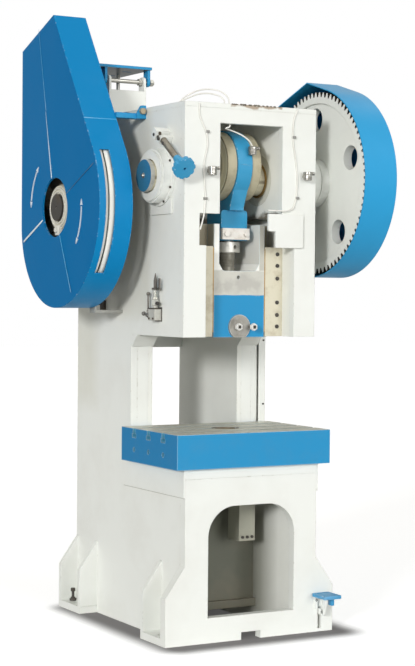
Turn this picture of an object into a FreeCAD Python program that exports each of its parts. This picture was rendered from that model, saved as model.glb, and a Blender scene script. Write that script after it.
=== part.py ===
import FreeCAD, Part
import math
import os

# Geared stamping press with a welded, open C-frame and a 710 x 480 mm table.
# Millimetres. +X is the press's right-hand side, +Y its back, +Z up.
# The origin is the centre of the four anchor holes, at floor level.

os.makedirs("parts", exist_ok=True)
V = FreeCAD.Vector

# ---------------------------------------------------------------- driving dimensions
FRAME_HALF = 305.0            # outer faces of the side plates, from the centre plane
LEG_INNER = 205.0             # inner faces of the box legs
OUTER_T = 30.0                # outer side plate
INNER_T = 20.0                # inner side plate
FRONT_Y = -495.0              # front of the base, and of the feet
REAR_Y = 495.0                # rear of the frame
COLUMN_Y = -20.0              # front of the columns, behind the throat
HEAD_Y = -467.0               # front of the head
HEAD_BOTTOM = 1208.0
HEAD_TOP = 2133.0
TABLE_TOP = 830.0
TABLE_T = 138.0
TABLE_HALF = 355.0
TABLE_Y = (-518.0, -38.0)
SEAT_Z = TABLE_TOP - TABLE_T  # top of the frame under the table
SEAT_T = 40.0
BASE_FRONT_T = 40.0
HEAD_FRONT_T = 30.0
TOP_T = 20.0

RAM_Y = -275.0                # ram centre line and crank axis, from the origin
CRANK_Z = 1848.0
STROKE = 100.0
THROW = STROKE / 2
ROD_LENGTH = 478.0            # crankpin to ball centre

MODULE = 9.0
GEAR_TEETH = 83
PINION_TEETH = 12
TOOTH_SHIFT = 0.2             # pinion addendum gained, and gear addendum lost, in modules
SHAFT_DISTANCE = MODULE * (GEAR_TEETH + PINION_TEETH) / 2
PINION_DROP = 118.0           # pinion axis below the crank axis
PINION_Y = RAM_Y + math.sqrt(SHAFT_DISTANCE**2 - PINION_DROP**2)
PINION_Z = CRANK_Z - PINION_DROP

ANCHOR_X = 350.0
ANCHOR_Y = 390.0
ANCHOR_R = 15.0
FOOT_REACH = 390.0            # outer edge of the feet
FOOT_WIDTH = 210.0
RUNNING = 0.05                # radial clearance of a shaft in its bush
SLIDING = 0.2                 # clearance of the ram in its ways


# ---------------------------------------------------------------- shape helpers
def put(name, shape):
    """Write one node; every solid is checked before it is kept."""
    if isinstance(shape, (list, tuple)):
        shape = Part.makeCompound(list(shape))
    if not shape.isValid() or not shape.Solids:
        raise ValueError(name + " is not a valid solid")
    shape.exportStep("parts/" + name + ".step")


def box(x, y, z):
    corner = V(min(x), min(y), min(z))
    return Part.makeBox(abs(x[1] - x[0]), abs(y[1] - y[0]), abs(z[1] - z[0]), corner)


AXES = {"x": V(1, 0, 0), "y": V(0, 1, 0), "z": V(0, 0, 1)}


def place(axis, u, v, w):
    """The point whose coordinate along the axis is w, and whose other two are u and v."""
    return {"x": V(w, u, v), "y": V(u, w, v), "z": V(u, v, w)}[axis]


def cyl(axis, centre, radius, span):
    low, high = min(span), max(span)
    return Part.makeCylinder(radius, high - low, place(axis, *centre, low), AXES[axis])


def cone(axis, centre, r_low, r_high, span):
    return Part.makeCone(r_low, r_high, span[1] - span[0], place(axis, *centre, span[0]), AXES[axis])


def pipe(axis, centre, r_out, r_in, span):
    bore = (min(span) - 1, max(span) + 1)
    return cyl(axis, centre, r_out, span).cut(cyl(axis, centre, r_in, bore))


def prism(axis, edges, span):
    """Extrude a closed outline of edges, drawn at 0 along the axis."""
    face = Part.Face(Part.Wire(edges))
    face.translate(AXES[axis] * min(span))
    return face.extrude(AXES[axis] * (max(span) - min(span)))


def outline(axis, corners):
    """Edges of a closed outline. A corner is (u, v) or (u, v, radius of its round)."""
    count = len(corners)
    ends = []
    for i, corner in enumerate(corners):
        here = place(axis, corner[0], corner[1], 0)
        before = place(axis, *corners[i - 1][:2], 0)
        after = place(axis, *corners[(i + 1) % count][:2], 0)
        if len(corner) == 2 or corner[2] == 0:
            ends.append((here, None, here))
            continue
        to_before = (before - here).normalize()
        to_after = (after - here).normalize()
        half = to_before.getAngle(to_after) / 2
        middle = (to_before + to_after).normalize()
        setback = corner[2] / math.tan(half)
        crown = middle * (corner[2] / math.sin(half) - corner[2])
        ends.append((here + to_before * setback, here + crown, here + to_after * setback))
    edges = []
    for i, (start, crown, end) in enumerate(ends):
        if crown is not None:
            edges.append(Part.Arc(start, crown, end).toShape())
        follow = ends[(i + 1) % count][0]
        if (follow - end).Length > 1e-6:
            edges.append(Part.LineSegment(end, follow).toShape())
    return edges


def plate(axis, corners, span):
    return prism(axis, outline(axis, corners), span)


def hexagon(axis, centre, across, span, turn=0.0):
    corners = []
    for i in range(6):
        angle = math.radians(60 * i + turn)
        reach = across / math.sqrt(3)
        corners.append((centre[0] + reach * math.cos(angle), centre[1] + reach * math.sin(angle)))
    return plate(axis, corners, span)


def both_sides(shape):
    """The shape and its mirror image across the centre plane."""
    return [shape, shape.mirror(V(0, 0, 0), V(1, 0, 0))]


def joined(first, *others):
    return first.fuse(list(others)).removeSplitter()


def bent_tube(points, radius):
    """A tube along straight runs joined by tangent arcs, as large as the runs allow."""
    runs = [(points[i + 1] - points[i]).Length for i in range(len(points) - 1)]
    edges = []
    start = points[0]
    for i in range(1, len(points) - 1):
        back = (points[i - 1] - points[i]).normalize()
        ahead = (points[i + 1] - points[i]).normalize()
        half = back.getAngle(ahead) / 2
        setback = 0.45 * min(runs[i - 1], runs[i])
        bend = setback * math.tan(half)
        crown = (back + ahead).normalize() * (bend / math.sin(half) - bend)
        first = points[i] + back * setback
        last = points[i] + ahead * setback
        edges.append(Part.LineSegment(start, first).toShape())
        edges.append(Part.Arc(first, points[i] + crown, last).toShape())
        start = last
    edges.append(Part.LineSegment(start, points[-1]).toShape())
    spine = Part.Wire(edges)
    ring = Part.Wire(Part.Circle(points[0], points[1] - points[0], radius).toShape())
    tube = spine.makePipeShell([ring], True, False)
    ideal = math.pi * radius**2 * spine.Length
    print("tube length %.0f, volume ratio %.4f" % (spine.Length, tube.Volume / ideal))
    return tube


# ---------------------------------------------------------------- welded frame
# Each leg is a box of an outer and an inner plate. The outer plate has the whole C.
BACK_OF_BASE_FRONT = FRONT_Y + BASE_FRONT_T
BACK_OF_HEAD_FRONT = HEAD_Y + HEAD_FRONT_T
SEAT_LOW = SEAT_Z - SEAT_T
HEAD_CEILING = HEAD_TOP - TOP_T
SHELF_Z = 1690.0              # shelf that carries the crank housings inside the head
GIB_TOP = 1571.0
SLOT_HALF = 236.0             # wide slot over the gibs
WINDOW_HALF = 145.0
WINDOW_Z = (1697.0, 2055.0)
CRANK_HOUSING_R = 105.0
PINION_HOUSING_R = 85.0

crank_line = (RAM_Y, CRANK_Z)
pinion_line = (PINION_Y, PINION_Z)

c_shape = [
    (BACK_OF_BASE_FRONT, 0),
    (BACK_OF_BASE_FRONT, SEAT_LOW),
    (COLUMN_Y, SEAT_LOW),
    (COLUMN_Y, HEAD_BOTTOM),
    (BACK_OF_HEAD_FRONT, HEAD_BOTTOM),
    (BACK_OF_HEAD_FRONT, HEAD_CEILING),
    (REAR_Y, HEAD_CEILING),
    (REAR_Y, 0),
]
outer_plate = plate("x", c_shape, (FRAME_HALF - OUTER_T, FRAME_HALF))
outer_plate = outer_plate.cut(cyl("x", crank_line, CRANK_HOUSING_R, (0, FRAME_HALF + 1)))
outer_plate = outer_plate.cut(cyl("x", pinion_line, PINION_HOUSING_R, (0, FRAME_HALF + 1)))
put("side_plates", both_sides(outer_plate))

EAR_ROOM_Y = -330.0           # the inner plate stands back from the slot over the gibs
inner_shape = [
    (BACK_OF_BASE_FRONT, 0),
    (BACK_OF_BASE_FRONT, SEAT_LOW),
    (COLUMN_Y, SEAT_LOW),
    (COLUMN_Y, HEAD_BOTTOM),
    (BACK_OF_HEAD_FRONT, HEAD_BOTTOM),
    (BACK_OF_HEAD_FRONT, GIB_TOP),
    (EAR_ROOM_Y, GIB_TOP, 20),
    (EAR_ROOM_Y, SHELF_Z),
    (REAR_Y, SHELF_Z),
    (REAR_Y, 0),
]
inner_plate = plate("x", inner_shape, (LEG_INNER, LEG_INNER + INNER_T))
put("inner_plates", both_sides(inner_plate))

# Plates that close the box legs at the column front, the rear and under the head.
BOX_X = (LEG_INNER + INNER_T, FRAME_HALF - OUTER_T)
LEG_CLOSE_T = 25.0
column_face = box(BOX_X, (COLUMN_Y, COLUMN_Y + LEG_CLOSE_T), (SEAT_LOW, HEAD_BOTTOM))
rear_face = box(BOX_X, (REAR_Y - LEG_CLOSE_T, REAR_Y), (0, HEAD_CEILING))
floor_y = (BACK_OF_HEAD_FRONT, COLUMN_Y + LEG_CLOSE_T)
cheek_floor = box(BOX_X, floor_y, (HEAD_BOTTOM, HEAD_BOTTOM + TOP_T))

# 45 degree throat gussets, as wide as the legs, where the head meets the columns.
GUSSET = 48.0
gusset = plate(
    "x",
    [
        (COLUMN_Y, HEAD_BOTTOM),
        (COLUMN_Y - GUSSET, HEAD_BOTTOM),
        (COLUMN_Y - GUSSET, HEAD_BOTTOM - 6),
        (COLUMN_Y - 6, HEAD_BOTTOM - GUSSET),
        (COLUMN_Y, HEAD_BOTTOM - GUSSET),
    ],
    (LEG_INNER, FRAME_HALF),
)
closing_plates = []
for closing in (column_face, rear_face, cheek_floor, gusset):
    closing_plates += both_sides(closing)
put("leg_closing_plates", closing_plates)

# Front plate of the head: crank window, wide slot over the gibs, open ram way below.
front_shape = [
    (-FRAME_HALF, HEAD_BOTTOM),
    (-LEG_INNER, HEAD_BOTTOM),
    (-LEG_INNER, GIB_TOP),
    (-SLOT_HALF, GIB_TOP),
    (-SLOT_HALF, WINDOW_Z[0]),
    (-WINDOW_HALF, WINDOW_Z[0]),
    (-WINDOW_HALF, WINDOW_Z[1]),
    (WINDOW_HALF, WINDOW_Z[1]),
    (WINDOW_HALF, WINDOW_Z[0]),
    (SLOT_HALF, WINDOW_Z[0]),
    (SLOT_HALF, GIB_TOP),
    (LEG_INNER, GIB_TOP),
    (LEG_INNER, HEAD_BOTTOM),
    (FRAME_HALF, HEAD_BOTTOM),
    (FRAME_HALF, HEAD_CEILING),
    (-FRAME_HALF, HEAD_CEILING),
]
put("head_front_plate", plate("y", front_shape, (HEAD_Y, BACK_OF_HEAD_FRONT)))
put("head_top_plate", box((-FRAME_HALF, FRAME_HALF), (HEAD_Y, REAR_Y), (HEAD_CEILING, HEAD_TOP)))

# Walls beside the crank window, with the housings' holes, and the shelf under them.
WALL_T = 20.0
WALL_BACK_Y = -45.0
wall_y = (BACK_OF_HEAD_FRONT, WALL_BACK_Y)
wall = box((WINDOW_HALF, WINDOW_HALF + WALL_T), wall_y, (SHELF_Z + TOP_T, HEAD_CEILING))
wall = wall.cut(cyl("x", crank_line, CRANK_HOUSING_R, (0, FRAME_HALF)))
shelf = box((WINDOW_HALF, BOX_X[1]), (EAR_ROOM_Y, 30), (SHELF_Z, SHELF_Z + TOP_T))
back_y = (WALL_BACK_Y, COLUMN_Y)
back_wall = joined(
    box((-LEG_INNER, LEG_INNER), back_y, (1590, SHELF_Z)),
    box((-WINDOW_HALF, WINDOW_HALF), back_y, (SHELF_Z, HEAD_CEILING)),
)
put("head_inner_plates", both_sides(wall) + both_sides(shelf) + [back_wall])

# Cover screwed over the right half of the slot; its lower corner is cut out for the ram's ear.
COVER_T = 10.0
cover_shape = [
    (76, GIB_TOP + 62, 6),
    (76, WINDOW_Z[0] + 6, 4),
    (242, WINDOW_Z[0] + 6, 4),
    (242, GIB_TOP - 4, 4),
    (110, GIB_TOP - 4),
    (110, GIB_TOP + 62),
]
put("slot_cover", plate("y", cover_shape, (HEAD_Y - COVER_T, HEAD_Y)))

# Rear plates: the window through the press stays open between them.
REAR_T = 25.0
rear_span = (-LEG_INNER, LEG_INNER)
upper_rear = box(rear_span, (REAR_Y - REAR_T, REAR_Y), (1135, 1640))
lower_rear = box(rear_span, (REAR_Y - REAR_T, REAR_Y), (60, 640))
put("rear_plates", [upper_rear, lower_rear])

# Base front plate: arch, flared feet, floor notch and the slot for the pedal lever.
ARCH_HALF = 200.0
ARCH_SILL = 100.0
ARCH_TOP = 539.0
ARCH_ROUND = 122.0
FLARE_Z = (190.0, 310.0)
NOTCH_HALF = 45.0
NOTCH_Z = 30.0
PEDAL_X = 327.0
base_front_shape = [
    (-FOOT_REACH, 0),
    (-FOOT_REACH, FLARE_Z[0]),
    (-FRAME_HALF, FLARE_Z[1]),
    (-FRAME_HALF, SEAT_LOW),
    (FRAME_HALF, SEAT_LOW),
    (FRAME_HALF, FLARE_Z[1]),
    (FOOT_REACH, FLARE_Z[0]),
    (FOOT_REACH, 0),
    (NOTCH_HALF, 0),
    (NOTCH_HALF, NOTCH_Z),
    (-NOTCH_HALF, NOTCH_Z),
    (-NOTCH_HALF, 0),
]
base_front_span = (FRONT_Y, BACK_OF_BASE_FRONT)
base_front = plate("y", base_front_shape, base_front_span)
arch = plate(
    "y",
    [
        (-ARCH_HALF, ARCH_SILL),
        (-ARCH_HALF, ARCH_TOP, ARCH_ROUND),
        (ARCH_HALF, ARCH_TOP, ARCH_ROUND),
        (ARCH_HALF, ARCH_SILL),
    ],
    (FRONT_Y - 1, BACK_OF_BASE_FRONT + 1),
)
PEDAL_SLOT_Z = (13.0, 101.0)
PEDAL_SLOT_HALF = 8.0
pedal_slot = box(
    (PEDAL_X - PEDAL_SLOT_HALF, PEDAL_X + PEDAL_SLOT_HALF),
    (FRONT_Y - 1, BACK_OF_BASE_FRONT + 1),
    PEDAL_SLOT_Z,
)
put("base_front_plate", base_front.cut(arch).cut(pedal_slot))

# Cavity behind the arch: back plate with a flat bar along its foot.
CAVITY_Y = -168.0
cavity_back = box(rear_span, (CAVITY_Y, CAVITY_Y + 20), (98, SEAT_LOW))
cross_bar = box(rear_span, (CAVITY_Y - 22, CAVITY_Y + 20), (66, 98))
put("cavity_plates", [cavity_back, cross_bar])

# Table seat: a thick plate with a drop hole, and a band on each side, a little proud.
DROP_R = 58.0
seat = box((-FRAME_HALF, FRAME_HALF), (FRONT_Y, COLUMN_Y), (SEAT_LOW, SEAT_Z))
seat = seat.cut(cyl("z", (0, RAM_Y), DROP_R + 10, (SEAT_LOW - 1, SEAT_Z + 1)))
BAND_T = 8.0
band = box((FRAME_HALF, FRAME_HALF + BAND_T), (FRONT_Y, 41), (580, SEAT_Z))
put("table_seat_plates", [seat] + both_sides(band))

# Feet: a floor plate with an anchor hole between two sloped gussets.
GUSSET_T = 20.0
FOOT_T = 30.0
foot_gusset_shape = [
    (FRAME_HALF, 0),
    (FOOT_REACH, 0),
    (FOOT_REACH, FLARE_Z[0]),
    (FRAME_HALF, FLARE_Z[1]),
]
gusset_places = [
    FRONT_Y + FOOT_WIDTH - GUSSET_T,
    REAR_Y - FOOT_WIDTH,
    REAR_Y - GUSSET_T,
]
LEVER_PASS_Z = 112.0          # room for the pedal lever and the pull rod's low end
gussets = []
for low in gusset_places:
    right, left = both_sides(plate("y", foot_gusset_shape, (low, low + GUSSET_T)))
    if low == gusset_places[0]:
        passage_x = (FRAME_HALF, PEDAL_X + PEDAL_SLOT_HALF)
        right = right.cut(box(passage_x, (low - 1, low + GUSSET_T + 1), (FOOT_T, LEVER_PASS_Z)))
    gussets += [right, left]
foot_spans = [
    (BACK_OF_BASE_FRONT, gusset_places[0]),
    (gusset_places[1] + GUSSET_T, gusset_places[2]),
]
feet = []
LEVEL_Y = 434.0               # levelling bolts, beside the anchor holes
for span, side in zip(foot_spans, (-1, 1)):
    foot = box((FRAME_HALF, FOOT_REACH), span, (0, FOOT_T))
    foot = foot.cut(cyl("z", (ANCHOR_X, side * ANCHOR_Y), ANCHOR_R, (-1, FOOT_T + 1)))
    foot = foot.cut(cyl("z", (ANCHOR_X, side * LEVEL_Y), 10, (-1, FOOT_T + 1)))
    feet += both_sides(foot)
put("feet", gussets + feet)
levelling = []
for side in (-1, 1):
    bolt = joined(
        cyl("z", (ANCHOR_X, side * LEVEL_Y), 10, (0, 62)),
        hexagon("z", (ANCHOR_X, side * LEVEL_Y), 30, (FOOT_T, FOOT_T + 14)),
    )
    levelling += both_sides(bolt)
put("levelling_bolts", levelling)

# Bracket that hangs from the table seat inside the arch, with three bolts at its foot.
BRACKET_X = (45.0, 120.0)
BRACKET_Y = (-320.0, -230.0)
BRACKET_LOW = 365.0
bracket = box(BRACKET_X, BRACKET_Y, (BRACKET_LOW, SEAT_LOW))
hollow = box(
    (BRACKET_X[0] + 8, BRACKET_X[1] - 8),
    (BRACKET_Y[0] + 8, BRACKET_Y[1] - 8),
    (BRACKET_LOW - 1, SEAT_LOW - 10),
)
put("hanging_bracket", bracket.cut(hollow))
frame_screws = []
for x in (60, 82.5, 105):
    frame_screws.append(hexagon("y", (x, BRACKET_LOW + 16), 11, (BRACKET_Y[0] - 6, BRACKET_Y[0])))

# ---------------------------------------------------------------- table
T_SLOT_PITCH = 125.0
T_THROAT = 22.0
T_HEAD = 36.0
table = box((-TABLE_HALF, TABLE_HALF), TABLE_Y, (SEAT_Z, TABLE_TOP))
for i in (-1, 0, 1):
    y = RAM_Y + i * T_SLOT_PITCH
    across = (-TABLE_HALF - 1, TABLE_HALF + 1)
    table = table.cut(box(across, (y - T_THROAT / 2, y + T_THROAT / 2), (TABLE_TOP - 22, TABLE_TOP + 1)))
    table = table.cut(box(across, (y - T_HEAD / 2, y + T_HEAD / 2), (TABLE_TOP - 38, TABLE_TOP - 22)))
    for side in (-1, 1):
        lifting_hole = cyl("x", (y, 743), 9, (side * (TABLE_HALF - 45), side * (TABLE_HALF + 1)))
        table = table.cut(lifting_hole)
table = table.cut(cyl("z", (0, RAM_Y), DROP_R, (SEAT_Z - 1, TABLE_TOP + 1)))
put("table", table)

# ---------------------------------------------------------------- ram and its ways
RAM_HALF = 118.0
RAM_FRONT = -378.0
RAM_BACK = -138.0
RAM_BOTTOM = 1205.0
RAM_TOP = 1661.0
EAR_HALF = 165.0
EAR_Y = (-322.0, -214.0)
CAP_TOP = 1375.0              # top of the painted lower block
POCKET_FLOOR = 1473.0
LEG_T = 24.0
BALL_R = 45.0
BALL_Z = CRANK_Z + THROW - ROD_LENGTH
SCREW_R = 32.0
SHANK_R = 25.0
SHANK_DEPTH = 80.0

ram = box((-RAM_HALF, RAM_HALF), (RAM_FRONT, RAM_BACK), (RAM_BOTTOM, RAM_TOP))
ram = joined(ram, box((-EAR_HALF, EAR_HALF), EAR_Y, (RAM_BOTTOM, RAM_TOP)))
inner = RAM_HALF - LEG_T
slot = plate(
    "y",
    [
        (-inner, RAM_TOP + 1),
        (-inner, POCKET_FLOOR + 30),
        (-inner + 16, POCKET_FLOOR + 3),
        (-inner + 24, POCKET_FLOOR),
        (inner - 24, POCKET_FLOOR),
        (inner - 16, POCKET_FLOOR + 3),
        (inner, POCKET_FLOOR + 30),
        (inner, RAM_TOP + 1),
    ],
    (RAM_FRONT - 1, RAM_BACK - 20),
)
ram = ram.cut(slot)
# The rod is drawn upright at every crank angle, so the ball and screw need room behind.
SWING_ROOM = THROW + 2
RISE_ROOM = 0.22 * THROW + 1
ball_room_z = (BALL_Z - BALL_R - RISE_ROOM, BALL_Z + BALL_R + RISE_ROOM)
swing_y = (RAM_Y, RAM_Y + SWING_ROOM)
ball_room = cyl("z", (0, RAM_Y), BALL_R + 2, ball_room_z)
ball_room = joined(
    ball_room,
    ball_room.translated(V(0, SWING_ROOM, 0)),
    box((-BALL_R - 2, BALL_R + 2), swing_y, ball_room_z),
)
screw_room = cyl("z", (0, RAM_Y), SCREW_R + 2, (BALL_Z, POCKET_FLOOR + 1))
screw_room = joined(
    screw_room,
    screw_room.translated(V(0, SWING_ROOM, 0)),
    box((-SCREW_R - 2, SCREW_R + 2), swing_y, (BALL_Z, POCKET_FLOOR + 1)),
)
ram = ram.cut(ball_room).cut(screw_room)
ram = ram.cut(cyl("z", (0, RAM_Y), SHANK_R, (RAM_BOTTOM - 1, RAM_BOTTOM + SHANK_DEPTH)))
CLAMP_Z = 1247.0
CLAMP_R = 49.0
ram = ram.cut(cyl("y", (0, CLAMP_Z), CLAMP_R, (RAM_FRONT - 1, RAM_FRONT + 34)))
ram = ram.cut(cyl("y", (-4, 1447), 7, (RAM_FRONT - 1, RAM_FRONT + 20)))
put("ram", ram.removeSplitter())

# Round clamp for the tool shank, with two studs and their nuts.
clamp = cyl("y", (0, CLAMP_Z), CLAMP_R, (RAM_FRONT - 8, RAM_FRONT + 34))
clamp = clamp.common(box((-60, 60), (RAM_FRONT - 9, RAM_FRONT + 40), (RAM_BOTTOM, 1310)))
studs = []
for x, reach in ((-10, 26), (50, 42)):
    shaft = cyl("y", (x, CLAMP_Z), 9, (RAM_FRONT - reach, RAM_FRONT))
    clamp = clamp.cut(shaft)
    nut = hexagon("y", (x, CLAMP_Z), 27, (RAM_FRONT - reach + 2, RAM_FRONT - reach + 16), 30)
    studs.append(joined(shaft, nut))
put("shank_clamp", clamp)
put("clamp_studs", studs)

# Front gibs, rear guides and bronze liners.
GIB_BACK = EAR_Y[0] - SLIDING
gib = box((RAM_HALF + 5, LEG_INNER), (RAM_FRONT, GIB_BACK), (HEAD_BOTTOM, GIB_TOP))
screws = []
for z in (1543, 1496, 1444, 1346, 1295, 1248):
    head = joined(
        cyl("y", (180, z), 8, (RAM_FRONT - 4, RAM_FRONT)),
        cyl("y", (180, z), 5, (RAM_FRONT, RAM_FRONT + 30)),
    )
    screws.append(head)
    gib = gib.cut(cyl("y", (180, z), 5, (RAM_FRONT - 1, RAM_FRONT + 30)))
put("front_gibs", both_sides(gib))
for head in screws:
    frame_screws += both_sides(head)
guide = box((RAM_HALF + 5, LEG_INNER), (EAR_Y[1] + SLIDING, WALL_BACK_Y), (HEAD_BOTTOM, SHELF_Z - 20))
put("rear_guides", both_sides(guide))
liner = box((RAM_HALF + SLIDING, RAM_HALF + 5), (RAM_FRONT, GIB_BACK - 1), (1225, GIB_TOP - 6))
put("gib_liners", both_sides(liner))

# ---------------------------------------------------------------- crankshaft and rod
PIN_Z = CRANK_Z + THROW
pin_line = (RAM_Y, PIN_Z)
JOURNAL_R = 62.0
PIN_R = 75.0
WEB_R = 140.0
ROD_HALF = 33.0
WEB_X = (ROD_HALF + 2, 78.0)
END_DISC_X = (-386.0, -368.0)
BRAKE_DRUM_R = 78.0
BRAKE_DRUM_X = (-346.0, -322.0)
GEAR_X = (426.0, 536.0)
SHAFT_END_X = 552.0

crank = cyl("x", pin_line, PIN_R, (-WEB_X[0], WEB_X[0]))
webs = both_sides(cyl("x", pin_line, WEB_R, WEB_X))
journal_right = cyl("x", crank_line, JOURNAL_R, (WEB_X[1], SHAFT_END_X))
journal_left = cyl("x", crank_line, JOURNAL_R, (END_DISC_X[1], -WEB_X[1]))
crank = joined(crank, *webs, journal_right, journal_left)
oil_hole = cyl("x", (RAM_Y - 4, CRANK_Z + 20), 6, (-WEB_X[1] - 1, -WEB_X[1] + 25))
put("crankshaft", crank.cut(oil_hole))
drum = pipe("x", crank_line, BRAKE_DRUM_R, JOURNAL_R, BRAKE_DRUM_X)
collar = pipe("x", crank_line, 88, JOURNAL_R, (GEAR_X[1] + 2, SHAFT_END_X))
put("shaft_collars", [drum, collar])
end_disc = cyl("x", crank_line, 64, END_DISC_X)
end_disc = end_disc.cut(cyl("x", crank_line, 7, (END_DISC_X[0] - 1, END_DISC_X[0] + 6)))
put("shaft_end_disc", end_disc)

# Big end in two halves round a bronze bush, then the square neck of the screw.
BUSH_T = 10.0
RING_R = 146.0
NECK_HALF = 61.0
NECK_Y = (RAM_Y - 59, RAM_Y + 57)
NECK_TOP = 1720.0
NECK_LOW = 1597.0
bush_out = PIN_R + BUSH_T
ring = pipe("x", pin_line, RING_R, bush_out, (-ROD_HALF, ROD_HALF))
upper_space = box((-200, 200), (RAM_Y - 300, RAM_Y + 300), (PIN_Z, PIN_Z + 300))
cap = ring.common(upper_space)
lower = ring.cut(upper_space)
SHANK_REACH = 78.0            # half depth of the shank where it stands on the neck
shank = plate(
    "x",
    [
        (RAM_Y - 108, PIN_Z - 98),
        (RAM_Y - SHANK_REACH, NECK_TOP + 12, 40),
        (RAM_Y - SHANK_REACH, NECK_TOP - 2),
        (RAM_Y - 57, NECK_TOP - 2),
        (RAM_Y - 57, NECK_TOP - 60),
        (RAM_Y + 57, NECK_TOP - 60),
        (RAM_Y + 57, NECK_TOP - 8, 40),
        (RAM_Y + 108, PIN_Z - 98),
    ],
    (-ROD_HALF, ROD_HALF),
)
shank = shank.cut(cyl("x", pin_line, bush_out, (-ROD_HALF - 1, ROD_HALF + 1)))
neck = plate(
    "y",
    [
        (-NECK_HALF, NECK_LOW),
        (-NECK_HALF, NECK_TOP, 14),
        (NECK_HALF, NECK_TOP, 14),
        (NECK_HALF, NECK_LOW),
    ],
    NECK_Y,
)
rod = joined(lower, shank, neck)
SCREW_TOP = 1708.0
THREAD_R = 30.0
rod = rod.cut(cyl("z", (0, RAM_Y), THREAD_R + RUNNING, (NECK_LOW - 1, SCREW_TOP + 6)))
stud_holes = []
for y in (RAM_Y - 114, RAM_Y + 114):
    stud_holes.append(cyl("z", (0, y), 11, (PIN_Z - 44, PIN_Z + 44)))
for hole in stud_holes:
    rod = rod.cut(hole)
    cap = cap.cut(hole)
put("connecting_rod", rod)
put("rod_cap", cap)
bush = pipe("x", pin_line, bush_out, PIN_R + RUNNING, (-ROD_HALF, ROD_HALF))
put("rod_bush_halves", [bush.common(upper_space), bush.cut(upper_space)])

# Plate and screws that lock the adjusting screw in the split neck.
LOCK_Y = NECK_Y[0] - 16
lock = plate(
    "y",
    [(-64, 1600, 4), (-64, 1646, 4), (64, 1646, 4), (64, 1600, 4)],
    (LOCK_Y, NECK_Y[0]),
)
rod_fasteners = [lock] + stud_holes
for x in (-46, 46):
    rod_fasteners.append(hexagon("y", (x, 1623), 22, (LOCK_Y - 12, LOCK_Y)))
put("rod_fasteners", rod_fasteners)

# Adjusting screw: thread in the neck, collar with bar holes, shank and ball.
COLLAR_R = 53.0
COLLAR_Z = (1549.0, 1591.0)
ball_screw = joined(
    cyl("z", (0, RAM_Y), THREAD_R, (COLLAR_Z[1] - 1, SCREW_TOP)),
    cyl("z", (0, RAM_Y), COLLAR_R, COLLAR_Z),
    cyl("z", (0, RAM_Y), SCREW_R, (BALL_Z, COLLAR_Z[0] + 1)),
    Part.makeSphere(BALL_R, V(0, RAM_Y, BALL_Z)),
)
collar_middle = V(0, RAM_Y, sum(COLLAR_Z) / 2)
for i in range(4):
    spoke = Part.makeCylinder(8, 40, collar_middle, V(1, 0, 0))
    spoke.translate(V(COLLAR_R - 22, 0, 0))
    spoke.rotate(collar_middle, V(0, 0, 1), 90 * i - 80)
    ball_screw = ball_screw.cut(spoke)
put("ball_screw", ball_screw)

# ---------------------------------------------------------------- crank bearings and brake
GUARD_BACK_X = -434.0
housing_left = pipe("x", crank_line, CRANK_HOUSING_R, JOURNAL_R + BUSH_T, (-FRAME_HALF, -WINDOW_HALF))
BRAKE_R = 108.0
cover_ring = pipe("x", crank_line, 120, 90, (-318, -FRAME_HALF))
cover_drum = pipe("x", crank_line, BRAKE_R, 90, (-351, -318))
cover_end = pipe("x", crank_line, BRAKE_R - 8, 66, (-361, -351))
put("brake_housing", joined(cover_ring, cover_drum, cover_end))
BOSS_X = 392.0
housing_right = pipe("x", crank_line, CRANK_HOUSING_R, JOURNAL_R + BUSH_T, (WINDOW_HALF, BOSS_X))
bush_span_left = (-FRAME_HALF, -WINDOW_HALF + 4)
bush_span_right = (WINDOW_HALF - 4, BOSS_X)
bush_left = pipe("x", crank_line, JOURNAL_R + BUSH_T, JOURNAL_R + RUNNING, bush_span_left)
bush_right = pipe("x", crank_line, JOURNAL_R + BUSH_T, JOURNAL_R + RUNNING, bush_span_right)
BAND_R = BRAKE_DRUM_R + 8
band_span = (BRAKE_DRUM_X[0] + 3, BRAKE_DRUM_X[1] - 3)
put("brake_band", pipe("x", crank_line, BAND_R, BRAKE_DRUM_R + 0.4, band_span))

# Sloped gussets that hold the right-hand boss to the side plate.
boss_gussets = []
for angle in (62, 118, 242, 298):
    rib = box((FRAME_HALF, BOSS_X - 8), (-7, 7), (CRANK_HOUSING_R - 4, 250))
    chamfer = plate("y", [(FRAME_HALF + 22, 260), (BOSS_X + 5, 260), (BOSS_X + 5, 122)], (-8, 8))
    rib = rib.cut(chamfer)
    rib.rotate(V(0, 0, 0), V(1, 0, 0), angle - 90)
    rib.translate(V(0, RAM_Y, CRANK_Z))
    rib = rib.cut(cyl("x", crank_line, CRANK_HOUSING_R, (FRAME_HALF - 1, BOSS_X + 1)))
    boss_gussets.append(rib)
put("crank_housings", [housing_left, housing_right] + boss_gussets)

# Pad under the brake housing on the left side plate.
pad = plate(
    "x",
    [(-371, 1695, 8), (-371, 1760), (-197, 1760), (-197, 1695, 8)],
    (-FRAME_HALF - 8, -FRAME_HALF),
)
pad = pad.cut(cyl("x", crank_line, 121, (-FRAME_HALF - 9, -FRAME_HALF + 1)))

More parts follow.
